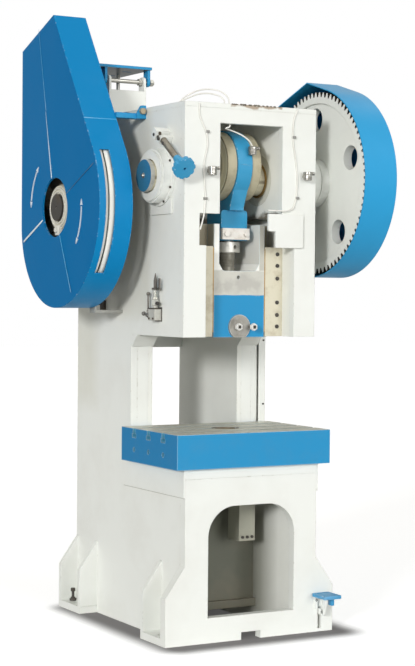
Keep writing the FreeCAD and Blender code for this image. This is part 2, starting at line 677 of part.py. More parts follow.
# Brake tension: two lugs on the side plate, a screw sloping forward, and a hand knob.
SCREW_X = -345.0
SCREW_ROOT = V(SCREW_X, -352, 1993)
SLOPE = V(0, -190, -133).normalize()
SLOPE_TURN = math.degrees(math.atan2(133, 190))
KNOB_ALONG = 150.0            # from the screw's root to the knob's hub
lugs = []
for along, half_length, half_width, face_x in ((-34, 15, 20, -366), (8, 8, 15, -360)):
    lug = box((face_x, -FRAME_HALF), (-half_length, half_length), (-half_width, half_width))
    lug.rotate(V(0, 0, 0), V(1, 0, 0), SLOPE_TURN)
    lug.translate(SCREW_ROOT + SLOPE * along - V(SCREW_X, 0, 0))
    passage = Part.makeCylinder(9.5, 120, SCREW_ROOT + SLOPE * (along - 60), SLOPE)
    lugs.append(lug.cut(passage))
put("brake_mounts", [pad] + lugs)
screw_rod = joined(
    Part.makeCylinder(9, 100, SCREW_ROOT - SLOPE * 70, SLOPE),
    Part.makeCylinder(10.5, KNOB_ALONG - 24, SCREW_ROOT + SLOPE * 24, SLOPE),
)
put("brake_screw", screw_rod)
KNOB_R = 45.0
KNOB_T = 22.0
KNOB_HUB = 60.0
knob_root = SCREW_ROOT + SLOPE * KNOB_ALONG
knob = Part.makeCylinder(KNOB_R, KNOB_T, knob_root + SLOPE * KNOB_HUB, SLOPE)
side = SLOPE.cross(V(1, 0, 0)).normalize()
LOBES = 10
for i in range(LOBES):
    angle = 2 * math.pi * i / LOBES
    out = (V(1, 0, 0) * math.cos(angle) + side * math.sin(angle)) * (KNOB_R + 5)
    knob = knob.cut(Part.makeCylinder(9, KNOB_T + 2, knob_root + SLOPE * (KNOB_HUB - 1) + out, SLOPE))
knob = joined(knob, Part.makeCone(15, 24, KNOB_HUB + 1, knob_root, SLOPE))
knob = knob.cut(Part.makeCylinder(6, 12, knob_root + SLOPE * (KNOB_HUB + KNOB_T - 11), SLOPE))
put("brake_knob", knob)

# ---------------------------------------------------------------- gear, pinion, flywheel
PRESSURE = math.radians(20)


def gear_edges(teeth, shift, centre, phase, thin=0.35):
    """Outline of an involute gear in the plane across X. Flanks are arcs through the involute."""
    pitch_r = MODULE * teeth / 2
    base_r = pitch_r * math.cos(PRESSURE)
    tip_r = pitch_r + MODULE * (1 + shift)
    root_r = pitch_r - MODULE * (1.25 - shift)
    start_r = max(base_r, root_r + 0.6)
    spread = (math.tan(PRESSURE) - PRESSURE)
    thickness = MODULE * (math.pi / 2 + 2 * shift * math.tan(PRESSURE)) - thin
    half_pitch = thickness / (2 * pitch_r)

    def half_angle(radius):
        turn = math.acos(base_r / radius)
        return half_pitch + spread - (math.tan(turn) - turn)

    def point(radius, angle):
        return place("x", centre[0] + radius * math.cos(angle), centre[1] + radius * math.sin(angle), 0)

    edges = []
    step = 2 * math.pi / teeth
    middle_r = (start_r + tip_r) / 2
    for i in range(teeth):
        mid = phase + i * step
        low = half_angle(start_r)
        mean = half_angle(middle_r)
        high = half_angle(tip_r)
        foot_in, foot_out = point(root_r, mid - low), point(root_r, mid + low)
        flank_in, flank_out = point(start_r, mid - low), point(start_r, mid + low)
        middle_in, middle_out = point(middle_r, mid - mean), point(middle_r, mid + mean)
        tip_in, tip_out = point(tip_r, mid - high), point(tip_r, mid + high)
        edges.append(Part.LineSegment(foot_in, flank_in).toShape())
        edges.append(Part.Arc(flank_in, middle_in, tip_in).toShape())
        edges.append(Part.LineSegment(tip_in, tip_out).toShape())
        edges.append(Part.Arc(tip_out, middle_out, flank_out).toShape())
        edges.append(Part.LineSegment(flank_out, foot_out).toShape())
        edges.append(Part.LineSegment(foot_out, point(root_r, mid + step - low)).toShape())
    return edges


mesh_angle = math.atan2(PINION_Z - CRANK_Z, PINION_Y - RAM_Y)
gear_phase = mesh_angle + math.pi / GEAR_TEETH
pinion_phase = mesh_angle + math.pi
GEAR_RIM_R = 334.0
GEAR_HUB_R = 100.0
WEB_HOLES = 5
WEB_HOLE_R = 50.0
WEB_HOLE_PCR = 266.0
GEAR_WEB_X = (436.0, 476.0)
gear = prism("x", gear_edges(GEAR_TEETH, -TOOTH_SHIFT, crank_line, gear_phase), GEAR_X)
gear = gear.cut(pipe("x", crank_line, GEAR_RIM_R, GEAR_HUB_R, (GEAR_X[0] - 1, GEAR_WEB_X[0])))
gear = gear.cut(pipe("x", crank_line, GEAR_RIM_R, GEAR_HUB_R, (GEAR_WEB_X[1], GEAR_X[1] + 1)))
hub = cyl("x", crank_line, GEAR_HUB_R, (398, GEAR_X[0]))
gear = joined(gear, hub)
GEAR_BUSH_R = JOURNAL_R + 9
gear = gear.cut(cyl("x", crank_line, GEAR_BUSH_R, (390, GEAR_X[1] + 1)))
for i in range(WEB_HOLES):
    angle = math.radians(159.5 + 360 / WEB_HOLES * i)
    spot = (RAM_Y + WEB_HOLE_PCR * math.cos(angle), CRANK_Z + WEB_HOLE_PCR * math.sin(angle))
    gear = gear.cut(cyl("x", spot, WEB_HOLE_R, (GEAR_WEB_X[0] - 1, GEAR_WEB_X[1] + 1)))
put("bull_gear", gear)
put("gear_bush", pipe("x", crank_line, GEAR_BUSH_R, JOURNAL_R + RUNNING, (398, GEAR_X[1])))

PINION_SHAFT_R = 38.0
FLYWHEEL_X = (-570.0, -445.0)
FLYWHEEL_R = 340.0
WHEEL_HOLE_PCR = 200.0
pinion_x = (GEAR_X[0] - 2, GEAR_X[1] + 2)
pinion = prism("x", gear_edges(PINION_TEETH, TOOTH_SHIFT, pinion_line, pinion_phase), pinion_x)
put("pinion", pinion.cut(cyl("x", pinion_line, PINION_SHAFT_R, (410, 550))))
shaft = cyl("x", pinion_line, PINION_SHAFT_R, (-560, 546))
shaft = joined(shaft, cyl("x", pinion_line, 55, (-578, -560)))
put("pinion_shaft", shaft.cut(cone("x", pinion_line, 8, 0.5, (-579, -566))))

wheel_section = [
    (FLYWHEEL_X[0], FLYWHEEL_R - 34),
    (FLYWHEEL_X[0], FLYWHEEL_R, 3),
    (-500, FLYWHEEL_R),
    (-497, FLYWHEEL_R - 10),
    (-486, FLYWHEEL_R - 10),
    (-483, FLYWHEEL_R),
    (FLYWHEEL_X[1], FLYWHEEL_R, 3),
    (FLYWHEEL_X[1], FLYWHEEL_R - 34),
    (-478, FLYWHEEL_R - 46, 8),
    (-490, 110, 8),
    (-448, 90),
    (-448, PINION_SHAFT_R),
    (-560, PINION_SHAFT_R),
    (-560, 56),
    (-566, 56),
    (-566, 90),
    (-522, 110, 8),
    (-536, FLYWHEEL_R - 46, 8),
]
section_edges = outline("y", wheel_section)
section_face = Part.Face(Part.Wire(section_edges))
wheel = section_face.revolve(V(0, 0, 0), V(1, 0, 0), 360)
wheel.translate(V(0, PINION_Y, PINION_Z))
for i in range(6):
    angle = math.radians(60 * i + 15)
    spot = (PINION_Y + WHEEL_HOLE_PCR * math.cos(angle), PINION_Z + WHEEL_HOLE_PCR * math.sin(angle))
    wheel = wheel.cut(cyl("x", spot, 50, (-560, -450)))
put("flywheel", wheel)

# Pinion shaft housings, bolted through the side plates, with bronze bushes.
PINION_HOUSING_X = (230.0, 396.0)
housing = pipe("x", pinion_line, PINION_HOUSING_R, PINION_SHAFT_R + 12, PINION_HOUSING_X)
flange = pipe("x", pinion_line, 112, PINION_HOUSING_R, (FRAME_HALF, FRAME_HALF + 16))
put("pinion_housings", both_sides(joined(housing, flange)))
bush = pipe("x", pinion_line, PINION_SHAFT_R + 12, PINION_SHAFT_R + RUNNING, PINION_HOUSING_X)
put("shaft_bushes", [bush_left, bush_right] + both_sides(bush))

# ---------------------------------------------------------------- guards
SHEET = 4.0
BELT_GUARD_X = (-581.0, GUARD_BACK_X)
GUARD_R = 415.0
REAR_R = 351.0
hub_y, hub_z = pinion_line
apex = (hub_y + 33, hub_z + 797)
shoulder = (hub_y + 340, hub_z + 682)
apex_reach = math.hypot(apex[0] - hub_y, apex[1] - hub_z)
apex_angle = math.atan2(apex[1] - hub_z, apex[0] - hub_y)
touch = apex_angle + math.acos(GUARD_R / apex_reach)


def belt_outline(inset):
    """Pear outline: front round about the hub, tangent slope to the apex, upright rear."""
    front_r = GUARD_R - inset
    rear_r = REAR_R - inset
    rear_y = hub_y + rear_r
    drop = GUARD_R - REAR_R

    def around(radius, cy, cz, angle):
        return place("x", cy + radius * math.cos(angle), cz + radius * math.sin(angle), 0)

    touch_point = around(front_r, hub_y, hub_z, touch)
    middle_front = around(front_r, hub_y, hub_z, (touch + 1.5 * math.pi) / 2)
    bottom = around(front_r, hub_y, hub_z, 1.5 * math.pi)
    rear_middle = around(rear_r, hub_y, hub_z - drop, 1.75 * math.pi)
    rear_side = around(rear_r, hub_y, hub_z - drop, 0)
    low_apex = place("x", apex[0] - inset * 0.18, apex[1] - inset * 1.3, 0)
    low_shoulder = place("x", rear_y, shoulder[1] - inset * 0.7, 0)
    return [
        Part.Arc(touch_point, middle_front, bottom).toShape(),
        Part.Arc(bottom, rear_middle, rear_side).toShape(),
        Part.LineSegment(rear_side, low_shoulder).toShape(),
        Part.LineSegment(low_shoulder, low_apex).toShape(),
        Part.LineSegment(low_apex, touch_point).toShape(),
    ]


guard = prism("x", belt_outline(0), BELT_GUARD_X)
guard = guard.cut(prism("x", belt_outline(SHEET), (BELT_GUARD_X[0] + SHEET, BELT_GUARD_X[1] + 1)))
HUB_HOLE_R = 122.0
hub_hole = cyl("x", pinion_line, HUB_HOLE_R, (BELT_GUARD_X[0] - 1, BELT_GUARD_X[0] + SHEET + 1))
guard = guard.cut(hub_hole)
SLOT_ANGLES = (math.radians(148), math.radians(221))
SLOT_X = (-552.0, -512.0)
reach = GUARD_R + 60
corners = []
for angle in (SLOT_ANGLES[0], sum(SLOT_ANGLES) / 2, SLOT_ANGLES[1]):
    corners.append((hub_y + reach * math.cos(angle), hub_z + reach * math.sin(angle)))
inner_reach = GUARD_R - 90
near = []
for angle in (SLOT_ANGLES[1], SLOT_ANGLES[0]):
    near.append((hub_y + inner_reach * math.cos(angle), hub_z + inner_reach * math.sin(angle)))
guard = guard.cut(plate("x", corners + near, SLOT_X))
put("belt_guard", guard)

# Upper arm and lower bracket that carry the belt guard from the left side plate.
ARM_Y = (-128.0, -92.0)
ARM_Z = (2088.0, 2110.0)
arm = box((GUARD_BACK_X, -FRAME_HALF), ARM_Y, ARM_Z)
lug = plate(
    "y",
    [(-346, ARM_Z[0]), (-346, ARM_Z[1], 4), (-328, 2142, 6), (-FRAME_HALF, 2142), (-FRAME_HALF, ARM_Z[0])],
    (ARM_Y[0] - 10, ARM_Y[0]),
)
end_plate = box((GUARD_BACK_X, GUARD_BACK_X + 6), (ARM_Y[0] + 28, ARM_Y[1] + 40), (ARM_Z[0] - 26, ARM_Z[1]))
upper_arm = joined(arm, lug, end_plate)
frame_screws.append(hexagon("y", (-324, 2118), 24, (ARM_Y[0] - 24, ARM_Y[0] - 10)))
lower_arm = plate(
    "y",
    [
        (GUARD_BACK_X, 1296),
        (GUARD_BACK_X, 1352),
        (GUARD_BACK_X + 8, 1352),
        (GUARD_BACK_X + 8, 1308),
        (-FRAME_HALF, 1308),
        (-FRAME_HALF, 1296),
    ],
    (60, 110),
)

# Gear guard: a drum round the front of the gear, folded at the top, drawn back over the pinion.
GEAR_GUARD_X = (409.0, 564.0)
GEAR_GUARD_R = 397.0
corner = (42.0, 426.0)        # fold at the top, from the crank axis
slope_down = math.radians(19.7)
rear_reach = 521.0


def gear_guard_edges(inset):
    radius = GEAR_GUARD_R - inset
    fold_y = corner[0] - inset * 0.1
    fold_z = corner[1] - inset
    reach = math.hypot(fold_y, fold_z)
    angle = math.atan2(fold_z, fold_y) + math.acos(radius / reach)
    back = rear_reach - inset

    def at(y, z):
        return place("x", RAM_Y + y, CRANK_Z + z, 0)

    start = at(radius * math.cos(angle), radius * math.sin(angle))
    front = at(-radius, 0)
    bottom = at(0, -radius)
    rear_top = at(back, fold_z - (back - fold_y) * math.tan(slope_down))
    rear_low = at(back, -240 + inset * 0.5)
    low_turn = at(back - 90, -radius + 30)
    return [
        Part.Arc(start, front, bottom).toShape(),
        Part.LineSegment(bottom, low_turn).toShape(),
        Part.LineSegment(low_turn, rear_low).toShape(),
        Part.LineSegment(rear_low, rear_top).toShape(),
        Part.LineSegment(rear_top, at(fold_y, fold_z)).toShape(),
        Part.LineSegment(at(fold_y, fold_z), start).toShape(),
    ]


guard_outside = prism("x", gear_guard_edges(0), GEAR_GUARD_X)
guard_inside = prism("x", gear_guard_edges(SHEET), (GEAR_GUARD_X[0] - 1, GEAR_GUARD_X[1] - SHEET))
put("gear_guard", guard_outside.cut(guard_inside))
# Two brackets from the side plate: one inside the guard's rear wall, one under its floor.
rear_wall_y = RAM_Y + rear_reach - SHEET
bar_x = (FRAME_HALF, GEAR_GUARD_X[0] + 25)
rear_bracket = joined(
    box((FRAME_HALF, FRAME_HALF + 8), (rear_wall_y - 30, rear_wall_y), (1980, 2040)),
    box(bar_x, (rear_wall_y - 30, rear_wall_y), (2032, 2040)),
)
low_bracket = joined(
    box((FRAME_HALF, FRAME_HALF + 8), (-120, -90), (1408, 1472)),
    box(bar_x, (-120, -90), (1448, 1472)),
)
put("guard_brackets", [upper_arm, lower_arm, rear_bracket, low_bracket.cut(guard_outside)])

# ---------------------------------------------------------------- motor bracket
BRACKET_FRONT = 182.0
STAND_X = (-315.0, -140.0)
STAND_TOP = 2240.0
EAR_TOP = 2302.0
HINGE = (206.0, 2281.0)
stand = box(STAND_X, (BRACKET_FRONT, 420), (HEAD_TOP, STAND_TOP))
stand_room_x = (STAND_X[0] + 8, STAND_X[1] - 8)
stand = stand.cut(box(stand_room_x, (BRACKET_FRONT + 8, 421), (HEAD_TOP - 1, STAND_TOP - 8)))
for low in (STAND_X[0], STAND_X[1] - 10):
    ear = plate(
        "x",
        [
            (BRACKET_FRONT, STAND_TOP - 2),
            (BRACKET_FRONT, EAR_TOP, 18),
            (BRACKET_FRONT + 48, EAR_TOP, 18),
            (BRACKET_FRONT + 48, STAND_TOP - 2),
        ],
        (low, low + 10),
    )
    stand = joined(stand, ear)
HINGE_ROD_R = 9.0
stand = stand.cut(cyl("x", HINGE, HINGE_ROD_R, (STAND_X[0] - 1, STAND_X[1] + 1)))
put("motor_bracket", stand)
rod_span = (-352.0, -92.0)
rod_nuts = []
for low in (-350, -112):
    rod_nuts.append(hexagon("x", HINGE, 27, (low, low + 14)))
rod_nuts.append(hexagon("x", HINGE, 27, (-166, -152)))
hinge_rod = joined(cyl("x", HINGE, HINGE_ROD_R, rod_span), *rod_nuts)
PLATE_X = (-400.0, -112.0)
PLATE_Z = (2333.0, 2345.0)
motor_plate = box(PLATE_X, (BRACKET_FRONT, 520), PLATE_Z)
for low in (-334, -130):
    ear = plate(
        "x",
        [
            (HINGE[0] - 20, PLATE_Z[0] + 1),
            (HINGE[0] - 20, HINGE[1] - 18, 16),
            (HINGE[0] + 20, HINGE[1] - 18, 16),
            (HINGE[0] + 20, PLATE_Z[0] + 1),
        ],
        (low, low + 12),
    )
    motor_plate = joined(motor_plate, ear)
motor_plate = motor_plate.cut(cyl("x", HINGE, HINGE_ROD_R + RUNNING, (-340, -100)))
for x in (-340, -180):
    for y in (290, 440):
        adjusting_slot = box((x - 22, x + 22), (y - 6.5, y + 6.5), (PLATE_Z[0] - 1, PLATE_Z[1] + 1))
        motor_plate = motor_plate.cut(adjusting_slot)
put("motor_plate", motor_plate)
motor_studs = [hinge_rod]
for x in (-290, -165):
    post = cyl("z", (x, 400), 8, (STAND_TOP, PLATE_Z[0]))
    motor_studs.append(joined(post, hexagon("z", (x, 400), 24, (STAND_TOP, STAND_TOP + 13))))
put("motor_studs", motor_studs)

# ---------------------------------------------------------------- pedal linkage
LEVER_PIVOT = (62.0, 82.0)
LEVER_X = (PEDAL_X - 5, PEDAL_X + 5)
TREAD_Z = 152.0
lever = plate(
    "x",
    [
        (-560, TREAD_Z, 4),
        (-540, TREAD_Z),
        (-518, 98, 12),
        (LEVER_PIVOT[0] + 16, 98, 14),
        (LEVER_PIVOT[0] + 16, 66, 14),
        (-532, 72, 20),
    ],
    LEVER_X,
)
lever = lever.cut(cyl("x", LEVER_PIVOT, 8 + RUNNING, (300, 350)))
tread = plate(
    "z",
    [(286, -632, 10), (286, -503, 6), (366, -503, 6), (366, -632, 10)],
    (TREAD_Z, TREAD_Z + 8),
)
tread_lip = box((350, 366), (-512, -503), (TREAD_Z - 34, TREAD_Z + 1))
put("pedal", joined(lever, tread, tread_lip))
# The lever's pivot stands on the side plate; its pin is welded in.
pivot = box((FRAME_HALF, LEVER_X[0] - 2), (LEVER_PIVOT[0] - 25, LEVER_PIVOT[0] + 25), (40, 125))
pivot = joined(pivot, cyl("x", LEVER_PIVOT, 8, (FRAME_HALF + 1, LEVER_X[1] + 14)))
# Pull rod in a sheet channel behind the table, with a fork over the lever.
ROD_Y = -14.0
PULL_R = 6.0
PULL_TOP = 1575.0
TRIP_Z = 1560.0
fork = box((PEDAL_X - 11, PEDAL_X + 11), (ROD_Y - 9, ROD_Y + 9), (66, 120))
fork = fork.cut(box((LEVER_X[0] - 1, LEVER_X[1] + 1), (ROD_Y - 10, ROD_Y + 10), (65, 106)))
pull = joined(
    fork,
    cyl("z", (PEDAL_X, ROD_Y), PULL_R, (119, PULL_TOP)),
    cyl("x", (ROD_Y, TRIP_Z), 5, (PEDAL_X, PEDAL_X + 18)),
)
put("pull_rod", pull)
COVER_X = 338.0
channel = box((FRAME_HALF, COVER_X), (ROD_Y - 20, ROD_Y + 24), (150, 1500))
channel = channel.cut(box((FRAME_HALF - 1, COVER_X - 2), (ROD_Y - 18, ROD_Y + 22), (149, 1501)))
put("rod_cover", channel.cut(band))
for z in (300, 905, 1180, 1420):
    frame_screws.append(cyl("y", (COVER_X - 10, z), 4, (ROD_Y - 23, ROD_Y - 20)))
# Trip lever that the pull rod draws down to let the gear take hold of the shaft.
TRIP_PIVOT = (80.0, TRIP_Z)
trip_x = (PEDAL_X + 8, PEDAL_X + 16)
trip = plate(
    "x",
    [
        (ROD_Y - 14, TRIP_Z + 12, 10),
        (TRIP_PIVOT[0] + 16, TRIP_Z + 15, 14),
        (TRIP_PIVOT[0] + 16, TRIP_Z - 15, 14),
        (ROD_Y - 14, TRIP_Z - 12, 10),
    ],
    trip_x,
)
trip = trip.cut(cyl("x", TRIP_PIVOT, 8 + RUNNING, (300, 350)))
trip = trip.cut(cyl("x", (ROD_Y, TRIP_Z), 5.4, (300, 350)))
put("trip_lever", trip)
trip_pin = joined(
    cyl("x", TRIP_PIVOT, 8, (FRAME_HALF, trip_x[1] + 4)),
    cyl("x", TRIP_PIVOT, 14, (FRAME_HALF, trip_x[0] - 1)),
)
put("linkage_pivots", [pivot, trip_pin])

# ---------------------------------------------------------------- lubrication
def oil_cup(x, y, z):
    """Round cup with a neck behind it and a small filler screw."""
    body = cyl("z", (x, y), 19, (z - 18, z + 16))
    rim = cyl("z", (x, y), 21, (z + 8, z + 16))
    spout = cyl("x", (y, z + 10), 5, (x + 14, x + 30))
    return joined(body, rim, spout)


CUP_Y = HEAD_Y - 24
cups = []
for x, z in ((-193, 1864), (251, 1860)):
    stem = cyl("y", (x, z), 7, (CUP_Y, HEAD_Y))
    cups.append(joined(oil_cup(x, CUP_Y, z), stem))
put("head_oil_cups", cups)
ROD_CUP = V(26, -430, 1956)
stem_end = -403.0
rod_cup = joined(oil_cup(ROD_CUP.x, ROD_CUP.y, ROD_CUP.z), cyl("y", (20, 1952), 6, (ROD_CUP.y, stem_end)))
rod_cup = rod_cup.cut(cyl("x", pin_line, RING_R, (-100, 100)))
put("rod_oil_cup", rod_cup)

TUBE_R = 3.0
TUBE_Y = HEAD_Y - 4
left_route = [
    V(-243, TUBE_Y, 2126), V(-245, TUBE_Y, 2085), V(-228, TUBE_Y, 2048), V(-208, TUBE_Y, 2010),
    V(-204, TUBE_Y, 1960), V(-218, TUBE_Y, 1912), V(-223, TUBE_Y, 1862), V(-217, TUBE_Y, 1812),
    V(-213, TUBE_Y, 1760), V(-215, TUBE_Y, 1712), V(-223, TUBE_Y, 1670), V(-236, TUBE_Y, 1632),
]
right_route = [
    V(213, TUBE_Y, 2126), V(195, TUBE_Y, 2090), V(190, TUBE_Y, 2040), V(193, TUBE_Y, 1985),
    V(205, TUBE_Y, 1930), V(212, TUBE_Y, 1875), V(214, TUBE_Y, 1820), V(210, TUBE_Y, 1770),
    V(196, TUBE_Y, 1724), V(158, TUBE_Y - 10, 1716), V(112, TUBE_Y - 11, 1716), V(70, TUBE_Y - 8, 1716),
]
rod_route = [
    V(-92, -450, 2055), V(-92, -450, 2043), V(-110, -440, 2037), V(-80, -422, 2035),
    V(-45, -424, 2025), V(-12, -432, 2009), V(12, -433, 1991), V(24, -431, 1974),
]
# Slack of the tubes, looped over the front edge of the head.
high_loop = [
    V(-290, -396, 2136), V(-262, -385, 2158), V(-205, -376, 2186), V(-150, -372, 2198),
    V(-95, -380, 2192), V(-70, -400, 2166), V(-84, -430, 2136),
]
low_loop = [
    V(-300, -432, 2136), V(-262, -420, 2152), V(-215, -412, 2170), V(-165, -410, 2176),
    V(-120, -415, 2168), V(-108, -432, 2150), V(-118, -450, 2136),
]
tubes = []
for route in (left_route, right_route, rod_route, high_loop, low_loop):
    tubes.append(bent_tube(route, TUBE_R))
put("oil_tubes", tubes)
for x, z in ((-206, 2017), (-213, 1754), (196, 2015), (214, 1770)):
    clip = box((x - 7, x + 7), (TUBE_Y - 6, HEAD_Y), (z - 5, z + 5))
    frame_screws.append(clip.cut(tubes[0]).cut(tubes[1]))
put("frame_screws", frame_screws)

# Hand pump on the left side plate: block, clear reservoir with pointed cap, ball-ended lever.
PUMP_LINE = (-323.0, -264.0)
PUMP_Y = (-287.0, -237.0)
LEVER_FOOT = V(PUMP_LINE[0], -204, 1290)
LEVER_REACH = 87.0
PIN_LENGTH = 46.0             # from the lever into the block
pump = box((-FRAME_HALF - 35, -FRAME_HALF), PUMP_Y, (1271, 1320))
pin_bore = Part.makeCylinder(6 + RUNNING, PIN_LENGTH + 1, LEVER_FOOT, V(0, -1, 0))
pump_neck = joined(
    cyl("z", PUMP_LINE, 11, (1319, 1332)),
    hexagon("z", PUMP_LINE, 27, (1331, 1356)),
)
put("pump_reservoir", cyl("z", PUMP_LINE, 12, (1356, 1392)))
pump_cap = joined(
    hexagon("z", PUMP_LINE, 28, (1392, 1402)),
    cyl("z", PUMP_LINE, 7, (1401, 1432)),
    cone("z", PUMP_LINE, 7, 1.5, (1431, 1460)),
    box((-328, -318), (-304, -264), (1394, 1400)),
    cyl("z", (-323, -300), 4, (1394, 1440)),
)
put("pump_body", [joined(pump, pump_neck).cut(pin_bore), pump_cap])
lever = joined(
    Part.makeCylinder(6, PIN_LENGTH, LEVER_FOOT, V(0, -1, 0)),
    Part.makeCylinder(4.5, LEVER_REACH, LEVER_FOOT, V(0, 0, 1)),
    Part.makeSphere(9, LEVER_FOOT),
    Part.makeSphere(8, LEVER_FOOT + V(0, 0, LEVER_REACH)),
)
put("pump_lever", lever)
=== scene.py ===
import math
import bmesh
import bpy
from mathutils import Matrix, Vector


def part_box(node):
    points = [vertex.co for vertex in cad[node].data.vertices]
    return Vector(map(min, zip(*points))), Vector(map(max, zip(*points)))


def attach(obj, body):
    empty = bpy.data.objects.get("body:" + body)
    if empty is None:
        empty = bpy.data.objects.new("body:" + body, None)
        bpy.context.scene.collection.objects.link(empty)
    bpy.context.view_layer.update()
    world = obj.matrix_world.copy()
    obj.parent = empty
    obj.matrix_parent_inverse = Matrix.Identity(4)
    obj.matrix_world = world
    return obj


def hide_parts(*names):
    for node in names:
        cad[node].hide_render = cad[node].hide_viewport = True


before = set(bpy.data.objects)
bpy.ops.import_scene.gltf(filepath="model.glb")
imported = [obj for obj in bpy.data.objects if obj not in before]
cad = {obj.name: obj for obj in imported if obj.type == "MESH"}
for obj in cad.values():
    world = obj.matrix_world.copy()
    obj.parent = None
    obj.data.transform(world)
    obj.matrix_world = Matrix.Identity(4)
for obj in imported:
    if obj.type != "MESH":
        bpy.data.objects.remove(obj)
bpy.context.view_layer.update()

scene = bpy.context.scene

# -------------------------------------------------- camera
# The press is seen from its left front, from the height of its ram and about seven
# metres away, through a long lens.


def placed(name, data):
    """A new object, linked into the scene."""
    made = bpy.data.objects.new(name, data)
    scene.collection.objects.link(made)
    return made


YAW, PITCH, ROLL = (math.radians(degrees) for degrees in (29.6, 1.5, 0.5))
EYE = (-3.4975, -6.2788, 1.4005)
ahead = Vector((math.sin(YAW) * math.cos(PITCH), math.cos(YAW) * math.cos(PITCH), -math.sin(PITCH)))
level = Vector((math.cos(YAW), -math.sin(YAW), 0))
above = level.cross(ahead)
right = level * math.cos(ROLL) + above * math.sin(ROLL)
up = above * math.cos(ROLL) - level * math.sin(ROLL)
camera = placed("camera", bpy.data.cameras.new("camera"))
camera.data.lens = 91.64
camera.data.clip_end = 100
turn = Matrix((right, up, -ahead)).transposed().to_4x4()
camera.matrix_world = Matrix.Translation(EYE) @ turn
scene.camera = camera

# -------------------------------------------------- floor and light
# A white studio: an even white surround, a large low lamp on the left that throws the
# guard's shadow on the side plate, a broad lamp in front and a weak one high on the right.
scene.view_settings.view_transform = "Standard"


def add(tree, kind, inputs=None, **settings):
    """One shader node. A socket among the inputs is linked, and anything else is its value."""
    made = tree.nodes.new(kind)
    for name, value in settings.items():
        setattr(made, name, value)
    for socket, value in (inputs or {}).items():
        if isinstance(value, bpy.types.NodeSocket):
            tree.links.new(value, made.inputs[socket])
        else:
            made.inputs[socket].default_value = value
    return made


def calc(tree, operation, first, second=0.0, clamp=False):
    """The result of a Math node."""
    return add(tree, "ShaderNodeMath", {0: first, 1: second}, operation=operation,
               use_clamp=clamp).outputs[0]


def vector_calc(tree, operation, first, second=(0, 0, 0)):
    """The result of a Vector Math node, which is a number for a length or a dot product."""
    made = add(tree, "ShaderNodeVectorMath", {0: first, 1: second}, operation=operation)
    return made.outputs["Value" if operation in ("LENGTH", "DOT_PRODUCT") else "Vector"]


def remap(tree, value, low, high, to_low=0.0, to_high=1.0, **settings):
    """A value carried from one range to another, and held inside it."""
    return add(tree, "ShaderNodeMapRange", {"Value": value, "From Min": low, "From Max": high,
                                            "To Min": to_low, "To Max": to_high}, **settings).outputs[0]


def mixed(tree, share, first, second):
    """A number between two others."""
    return add(tree, "ShaderNodeMix", {0: share, 2: first, 3: second}).outputs[0]


def blended(tree, share, first, second, how="MIX"):
    """A colour between two others."""
    return add(tree, "ShaderNodeMix", {0: share, 6: first, 7: second}, data_type="RGBA",
               blend_type=how).outputs[2]


def seen_directly(tree):
    """1 where the camera looks, also through the clear oil pot, and 0 for all other light."""
    path = add(tree, "ShaderNodeLightPath").outputs
    return calc(tree, "MAXIMUM", path["Is Camera Ray"], path["Is Transmission Ray"])


def cleared(owner):
    """The node tree of a world or a material, emptied."""
    owner.use_nodes = True
    owner.node_tree.nodes.clear()
    return owner.node_tree


SURROUND = 0.41
PANELS = 5.0
WHITE = (1, 1, 1, 1)
scene.world = bpy.data.worlds.new("studio")
tree = cleared(scene.world)
# Reflections see a dim horizon, a bright ceiling and tall light panels round the press.
around = add(tree, "ShaderNodeTexCoord").outputs["Generated"]
compass = add(tree, "ShaderNodeSeparateXYZ", {0: around}).outputs
ceiling = remap(tree, compass["Z"], 0.05, 0.7, 0.24, 1.0)
bearing = calc(tree, "ARCTAN2", compass["Y"], compass["X"])
panels = calc(tree, "SINE", calc(tree, "MULTIPLY", bearing, PANELS))
reflected = calc(tree, "ADD", ceiling, remap(tree, panels, 0.1, 0.8, 0.0, 0.75))
glossy = add(tree, "ShaderNodeLightPath").outputs["Is Glossy Ray"]
seen = seen_directly(tree)
strength = mixed(tree, seen, mixed(tree, glossy, SURROUND, reflected), 1.0)
tint = blended(tree, seen, (1, 0.985, 0.93, 1), WHITE)
sky = add(tree, "ShaderNodeBackground", {"Color": tint, "Strength": strength})
add(tree, "ShaderNodeOutputWorld", {"Surface": sky.outputs[0]})

# Each lamp's name, strength, width in degrees and the direction it shines from.
LAMPS = (
    ("left_lamp", 1.72, 10, (-0.77, -0.6, 0.2)),
    ("right_lamp", 0.12, 14, (0.47, -0.67, 0.57)),
    ("front_lamp", 0.98, 24, (0.12, -1.0, 0.16)),
)
for name, energy, spread, source in LAMPS:
    lamp = placed(name, bpy.data.lights.new(name, "SUN"))
    lamp.data.energy = energy
    lamp.data.angle = math.radians(spread)
    lamp.matrix_world = Vector(source).to_track_quat("Z", "Y").to_matrix().to_4x4()

floor_mesh = bpy.data.meshes.new("floor")
bm = bmesh.new()
bmesh.ops.create_grid(bm, x_segments=1, y_segments=1, size=30)
bm.to_mesh(floor_mesh)
bm.free()
floor = placed("floor", floor_mesh)
floor_paint = bpy.data.materials.new("floor")
tree = cleared(floor_paint)
